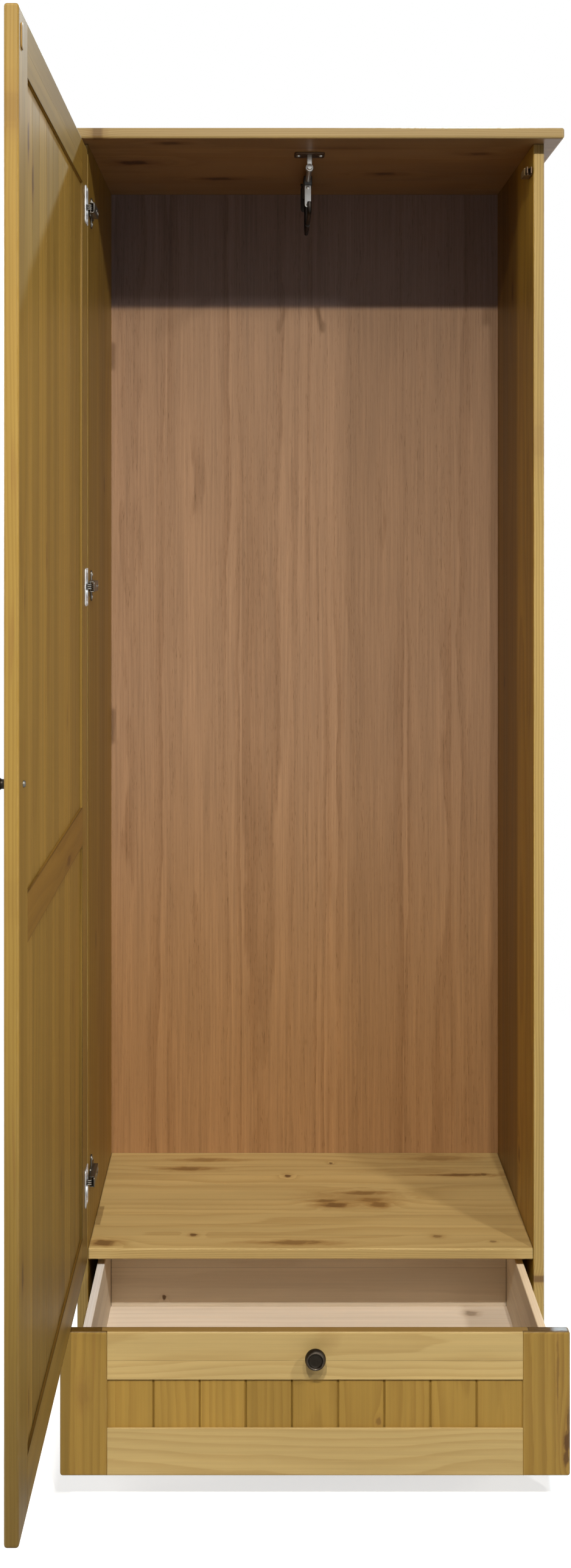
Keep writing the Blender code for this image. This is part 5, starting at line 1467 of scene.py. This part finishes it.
    def make_sliding_part(self):
        """The ribbed slider and the rod that hangers hang on."""
        low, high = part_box("rail_slider")
        work = bmesh.new()
        put_in(work, block(low, high, self.SLIDER_EASE, self.SLIDER_SEGMENTS))
        for share in self.RIB_SHARES:
            y = low.y + (high.y - low.y) * share
            near = (low.x - self.RIB_PROUD, y, low.z + self.RIB_INSET)
            far = (high.x + self.RIB_PROUD, y + self.RIB_DEPTH, high.z - self.RIB_INSET)
            put_in(work, block(near, far, self.RIB_PROUD))
        finish_piece("rail_slider_moulded", work, "black_plastic", "hanging_rail", ("rail_slider",))
        low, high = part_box("rail_hanger_rod")
        radius, level = half_size("rail_hanger_rod", "X"), self.HANGER_LEVEL
        near, far = low.y + radius, high.y - radius
        corners = ((0, near, level + self.HANGER_TAIL), (0, near, level), (0, far, level), (0, far, high.z))
        path = bent(corners, self.HANGER_BEND)
        work = bmesh.new()
        put_in(work, pipe(path, radius, self.HANGER_STEPS, self.HANGER_EASE))
        finish_piece(
            "rail_hanger_rod_bent", work, "nickel", "hanging_rail", ("rail_hanger_rod",),
            finish=FINISHES["dark_steel"],
        )

    def make_strap(self):
        """The drop in front: a plated strap riveted to a narrower dark tongue."""
        low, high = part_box("rail_front_strap")
        joint = low.z + (high.z - low.z) * self.STRAP_JOINT_SHARE
        sheet = (high.y - low.y) / 2
        lap_top = joint + self.STRAP_LAP
        rivets = (joint + self.STRAP_LAP / 2, high.z - self.RIVET_INSET)
        work = self.press_strap(low.y, sheet, joint, high.z, self.STRAP_HALF_WIDE, rivets)
        finish_piece(
            "rail_front_strap_pressed", work, "nickel", "hanging_rail", ("rail_front_strap",),
            finish=FINISHES["nickel"],
        )
        behind = low.y + sheet
        rivets = (self.HANGER_LEVEL,)
        work = self.press_strap(behind, sheet, low.z, lap_top, self.TONGUE_HALF_WIDE, rivets)
        dark = FINISHES["dark_steel"]
        finish_piece("rail_front_strap_tongue", work, "nickel", "hanging_rail", finish=dark)

    def press_strap(self, near, sheet, foot, head, half_wide, rivets):
        """An upright strap with a rivet at each of some heights."""
        corner = half_wide * self.STRAP_CORNER_SHARE
        outline = rounded_outline((-half_wide, foot), (half_wide, head), corner)
        work = bmesh.new()
        put_in(work, plate(outline, sheet, self.STRAP_EASE), upright(near))
        for height in rivets:
            put_in(work, turning(self.RIVET, self.RIVET_STEPS), placed((0, near, height), "front"))
        return work


class WARDROBE_OT_catch(bpy.types.Operator):
    """Make the magnetic catch and the strike plate on the door"""

    bl_idname = "wardrobe.catch"
    bl_label = "Fit Catch"

    # Sizes are in metres; a reach is how far the moulding goes past the rear of the poles.
    EASE, GAP, REAR_GAP = 0.0012, 0.0002, 0.0003
    CHEEK_REACH, BRIDGE_REACH, BRIDGE_EASE = 0.004, 0.002, 0.0002
    STRIKE_CORNER, STRIKE_EASE = 0.004, 0.0003

    def execute(self, context):
        metals = context.scene.wardrobe_metal
        low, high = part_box("catch_body")
        poles_low, poles_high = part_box("catch_poles")
        inset = self.EASE / 2
        work = bmesh.new()
        rear = poles_high.y + self.CHEEK_REACH
        for near, far in ((low.x, poles_low.x - self.GAP), (poles_high.x + self.GAP, high.x)):
            put_in(work, block((near, low.y, low.z), (far, rear, high.z), inset))
        put_in(work, block((low.x, poles_high.y + self.REAR_GAP, low.z), high, self.EASE))
        rear = poles_high.y + self.BRIDGE_REACH
        for foot, head in ((low.z, poles_low.z - self.GAP), (poles_high.z + self.GAP, high.z)):
            bridge = block((low.x + inset, low.y, foot), (high.x - inset, rear, head), self.BRIDGE_EASE)
            put_in(work, bridge)
        beige = plastic_material("Beige plastic", metals.beige_plastic, 0.75, 0.04)
        finish_piece("catch_body_moulded", work, "white_plastic", "carcass", ("catch_body",), finish=beige)
        low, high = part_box("catch_strike_plate")
        strike = rounded_outline((low.z, low.y), (high.z, high.y), self.STRIKE_CORNER)
        work = bmesh.new()
        put_in(work, plate(strike, high.x - low.x, self.STRIKE_EASE), on_side(low.x))
        lacquered = plastic_material("Lacquered steel", metals.lacquered_steel, 0.42, 0.18)
        finish_piece(
            "catch_strike_plate_pressed", work, "zinc", "door", ("catch_strike_plate",), finish=lacquered
        )
        dress("catch_poles", FINISHES["brown_steel"])
        return {"FINISHED"}


class WARDROBE_OT_runners(bpy.types.Operator):
    """Screw on the drawer runners and mould their rollers"""

    bl_idname = "wardrobe.runners"
    bl_label = "Fit Runners"

    # Radius as a share of the roller's radius, height as a share of its width.
    ROLLER_SHARES = (
        (0, 0.08), (0.16, 0.08), (0.20, 0.02), (0.30, 0.02), (0.34, 0.14), (0.70, 0.14), (0.76, 0.0),
        (0.93, 0.0), (1.0, 0.14), (1.0, 0.86), (0.93, 1.0), (0.76, 1.0), (0.70, 0.86), (0.34, 0.86),
        (0.30, 0.98), (0.20, 0.98), (0.16, 0.92), (0, 0.92),
    )
    ROLLER_STEPS = 36
    # Sheet of the runners, and the gap between the drawer's side and its runner.
    SHEET, GAP = 0.0012, 0.0003
    SCREW_RADIUS, SCREW_RISE = 0.0030, 0.0008
    # Places of the screws as shares of the runner's length.
    CABINET_SCREWS, DRAWER_SCREWS = (0.12, 0.5, 0.88), (0.10, 0.5, 0.84)

    def execute(self, context):
        for end, outward, word in zip((LOW, HIGH), (-1, 1), SIDES):
            for pair in ("front_roller", "rear_roller"):
                self.mould_roller(f"{pair}_{word}", f"{pair}s")
            runner = f"cabinet_runner_{word}"
            web = span(runner, "X")[end] - outward * self.SHEET
            self.screw_on(runner, "carcass", web, -outward, self.CABINET_SCREWS)
            web = span(f"drawer_{word}_side", "X")[end] + outward * (self.GAP + self.SHEET)
            self.screw_on(f"drawer_runner_{word}", "drawer", web, outward, self.DRAWER_SCREWS)
        return {"FINISHED"}

    def mould_roller(self, node, body):
        low, high = span(node, "X")
        radius, width = half_size(node, "Z"), high - low
        outline = [(share * radius, rise * width) for share, rise in self.ROLLER_SHARES]
        seat = middle(node)
        seat.x = low
        work = bmesh.new()
        put_in(work, turning(outline, self.ROLLER_STEPS), placed(seat, "right"))
        finish_piece(f"{node}_moulded", work, "white_plastic", body, (node,))

    def screw_on(self, node, body, web, facing, shares):
        """Screws through the upright web of a runner, heads towards the gap beside the drawer."""
        near, far = span(node, "Y")
        heads = bmesh.new()
        for share in shares:
            place = (web, near + (far - near) * share, middle(node).z)
            head = screw(self.SCREW_RADIUS, self.SCREW_RISE)
            put_in(heads, head, placed(place, "right" if facing > 0 else "left"))
        finish_piece(f"{node}_screws", heads, "zinc", body)


class WARDROBE_OT_stage(bpy.types.Operator):
    """Set up the camera, lamps, floor and white surroundings"""

    bl_idname = "wardrobe.stage"
    bl_label = "Set Stage"

    WARM_WHITE, AIM = (1.0, 0.98, 0.95), (0, 0, 1.0)
    # Ceiling spots in front, which light facing boards alike from head to foot: name, place and
    # share of the key level.
    SPOTS = (
        ("Left key lamp", (-0.30, -2.95, 3.36), 0.65),
        ("Right key lamp", (0.45, -2.95, 3.36), 0.35),
    )
    SPOT_AIM, SPOT_COLOUR = (0.12, -0.3, 0.15), (1.0, 0.98, 0.94)
    SPOT_ANGLE, SPOT_RADIUS = math.radians(70), 0.03
    # Area lamps: name, place, aim, size, the setting of the level, colour.
    LAMPS = (
        ("Fill lamp", (2.2, -2.6, 3.2), (-0.35, -0.1, 1.1), 0.3, "fill", WARM_WHITE),
        ("Side lamp", (-8.0, -2.5, 3.2), AIM, 4.0, "side", WARM_WHITE),
        ("Rear lamp", (1.2, 7.6, 6.05), AIM, 0.35, "rear", (0.62, 0.84, 1.0)),
        ("Wall lamp", (-4.5, 7.5, 2.4), AIM, 3.0, "side", WARM_WHITE),
        ("Right wall lamp", (5.0, 6.0, 1.6), AIM, 2.0, "side", (1.0, 0.95, 0.86)),
    )
    # With these a lamp of level 1 lights a facing surface so that it renders as written.
    AREA_POWER, SPOT_POWER = math.pi ** 2, 4 * math.pi ** 2
    ROOM_COLOUR = (0.74, 0.87, 1.0)
    FLOOR_STEPS, FLOOR_DROP = 96, 0.0004
    # Light that the floor gives off, where it begins to fade and the share of its radius at the end.
    FLOOR_GLOW, FLOOR_FADE_START, FLOOR_FADE_SHARE = 0.66, 0.75, 0.9

    def execute(self, context):
        studio = context.scene.wardrobe_studio
        self.place_camera(context, studio)
        self.hang_lamps(context, studio)
        self.light_room(context, studio)
        self.lay_floor(context, studio)
        context.scene.view_settings.view_transform = "Standard"
        return {"FINISHED"}

    def place_camera(self, context, studio):
        lens = bpy.data.cameras.new("Camera")
        lens.lens = studio.lens
        lens.shift_x, lens.shift_y = studio.shift
        camera = bpy.data.objects.new("Camera", lens)
        camera.location = studio.eye
        camera.rotation_euler = (RIGHT_ANGLE, 0, 0)
        context.scene.collection.objects.link(camera)
        context.scene.camera = camera

    def hang_lamps(self, context, studio):
        for name, place, share in self.SPOTS:
            lamp = bpy.data.lights.new(name, "SPOT")
            lamp.spot_size = self.SPOT_ANGLE
            lamp.spot_blend = 1.0
            lamp.shadow_soft_size = self.SPOT_RADIUS
            lamp.color = self.SPOT_COLOUR
            self.hang(context, lamp, place, self.SPOT_AIM, self.SPOT_POWER * studio.key * share)
        for name, place, aim, size, setting, colour in self.LAMPS:
            lamp = bpy.data.lights.new(name, "AREA")
            lamp.shape = "DISK"
            lamp.size = size
            lamp.color = colour
            self.hang(context, lamp, place, aim, self.AREA_POWER * getattr(studio, setting))

    def hang(self, context, lamp, place, aim, power):
        """Turns a lamp to its aim; power is what it needs to light a surface 1 metre away."""
        way = Vector(aim) - Vector(place)
        lamp.energy = way.length_squared * power
        holder = bpy.data.objects.new(lamp.name, lamp)
        holder.location = place
        holder.rotation_euler = way.to_track_quat("-Z", "Y").to_euler()
        context.scene.collection.objects.link(holder)

    def light_room(self, context, studio):
        """White to the camera and in reflections, and a plain level of light on the object."""
        world = bpy.data.worlds.new("Studio")
        world.use_nodes = True
        net = Net(world.node_tree)
        ray = net.add("ShaderNodeLightPath").outputs
        seen = net.math("MAXIMUM", ray["Is Camera Ray"], ray["Is Glossy Ray"])
        seen = net.math("MAXIMUM", seen, ray["Is Transmission Ray"])
        backdrop = world.node_tree.nodes["Background"]
        net.feed(backdrop.inputs["Color"], net.blend(seen, self.ROOM_COLOUR, (1.0, 1.0, 1.0)))
        level = net.math("MULTIPLY_ADD", seen, 1.0 - studio.ambient, studio.ambient)
        net.feed(backdrop.inputs["Strength"], level)
        context.scene.world = world

    def lay_floor(self, context, studio):
        work = bmesh.new()
        bmesh.ops.create_circle(
            work, cap_ends=True, segments=self.FLOOR_STEPS, radius=studio.floor_radius
        )
        bmesh.ops.translate(work, vec=(0, 0, -self.FLOOR_DROP), verts=work.verts)
        mesh = bpy.data.meshes.new("Floor")
        work.to_mesh(mesh)
        work.free()
        mesh.materials.append(self.floor_material(studio))
        floor = bpy.data.objects.new("Floor", mesh)
        context.scene.collection.objects.link(floor)

    def floor_material(self, studio):
        """Pale floor that keeps the shadow and fades into the white surroundings."""
        material, net, shader = start_material("Studio floor")
        point = object_point(net)
        place = net.split(point)
        mottle = net.noise(point, 3, 0.5, 3)
        tone = net.total(1.0, net.swing(mottle, 0.03))
        net.feed(shader.inputs["Base Color"], net.scaled_colour(studio.floor_colour, tone))
        net.feed(shader.inputs["Roughness"], net.total(0.75, net.swing(mottle, 0.1)))
        shader.inputs["Specular IOR Level"].default_value = 0.1
        seen = net.add("ShaderNodeLightPath").outputs["Is Camera Ray"]
        glow = net.add("ShaderNodeEmission", {"Strength": net.times(seen, self.FLOOR_GLOW)})
        lit = net.add("ShaderNodeAddShader", {0: shader.outputs[0], 1: glow.outputs[0]})
        reach = net.length(place["X"], place["Y"])
        gone = net.step(reach, self.FLOOR_FADE_START, studio.floor_radius * self.FLOOR_FADE_SHARE)
        clear = net.add("ShaderNodeBsdfTransparent")
        faded = net.add("ShaderNodeMixShader", {0: gone, 1: lit.outputs[0], 2: clear.outputs[0]})
        net.feed(net.tree.nodes["Material Output"].inputs["Surface"], faded.outputs[0])
        return material


OPERATORS = (
    WARDROBE_OT_timber,
    WARDROBE_OT_back_gap_shade,
    WARDROBE_OT_knobs,
    WARDROBE_OT_hinges,
    WARDROBE_OT_hanging_rail,
    WARDROBE_OT_catch,
    WARDROBE_OT_runners,
    WARDROBE_OT_stage,
)


class WARDROBE_PT_panel(bpy.types.Panel):
    """Lists the steps that dress the wardrobe"""

    bl_label = "Wardrobe"
    bl_idname = "WARDROBE_PT_panel"
    bl_space_type = "VIEW_3D"
    bl_region_type = "UI"
    bl_category = "Wardrobe"

    def draw(self, context):
        for operator in OPERATORS:
            self.layout.operator(operator.bl_idname)
        for setting in SETTINGS:
            group = getattr(context.scene, setting)
            box = self.layout.box()
            for name in group.bl_rna.properties.keys():
                if name not in ("rna_type", "name"):
                    box.prop(group, name)


SETTINGS = {
    "wardrobe_wood": WardrobeWoodSettings,
    "wardrobe_metal": WardrobeMetalSettings,
    "wardrobe_studio": WardrobeStudioSettings,
}


def register():
    for kind in (*SETTINGS.values(), *OPERATORS, WARDROBE_PT_panel):
        bpy.utils.register_class(kind)
    for name, kind in SETTINGS.items():
        setattr(bpy.types.Scene, name, PointerProperty(type=kind))


def unregister():
    for name in SETTINGS:
        delattr(bpy.types.Scene, name)
    for kind in reversed((*SETTINGS.values(), *OPERATORS, WARDROBE_PT_panel)):
        bpy.utils.unregister_class(kind)


def main():
    register()
    for operator in OPERATORS:
        group, name = operator.bl_idname.split(".")
        getattr(getattr(bpy.ops, group), name)()


if __name__ == "__main__":
    main()
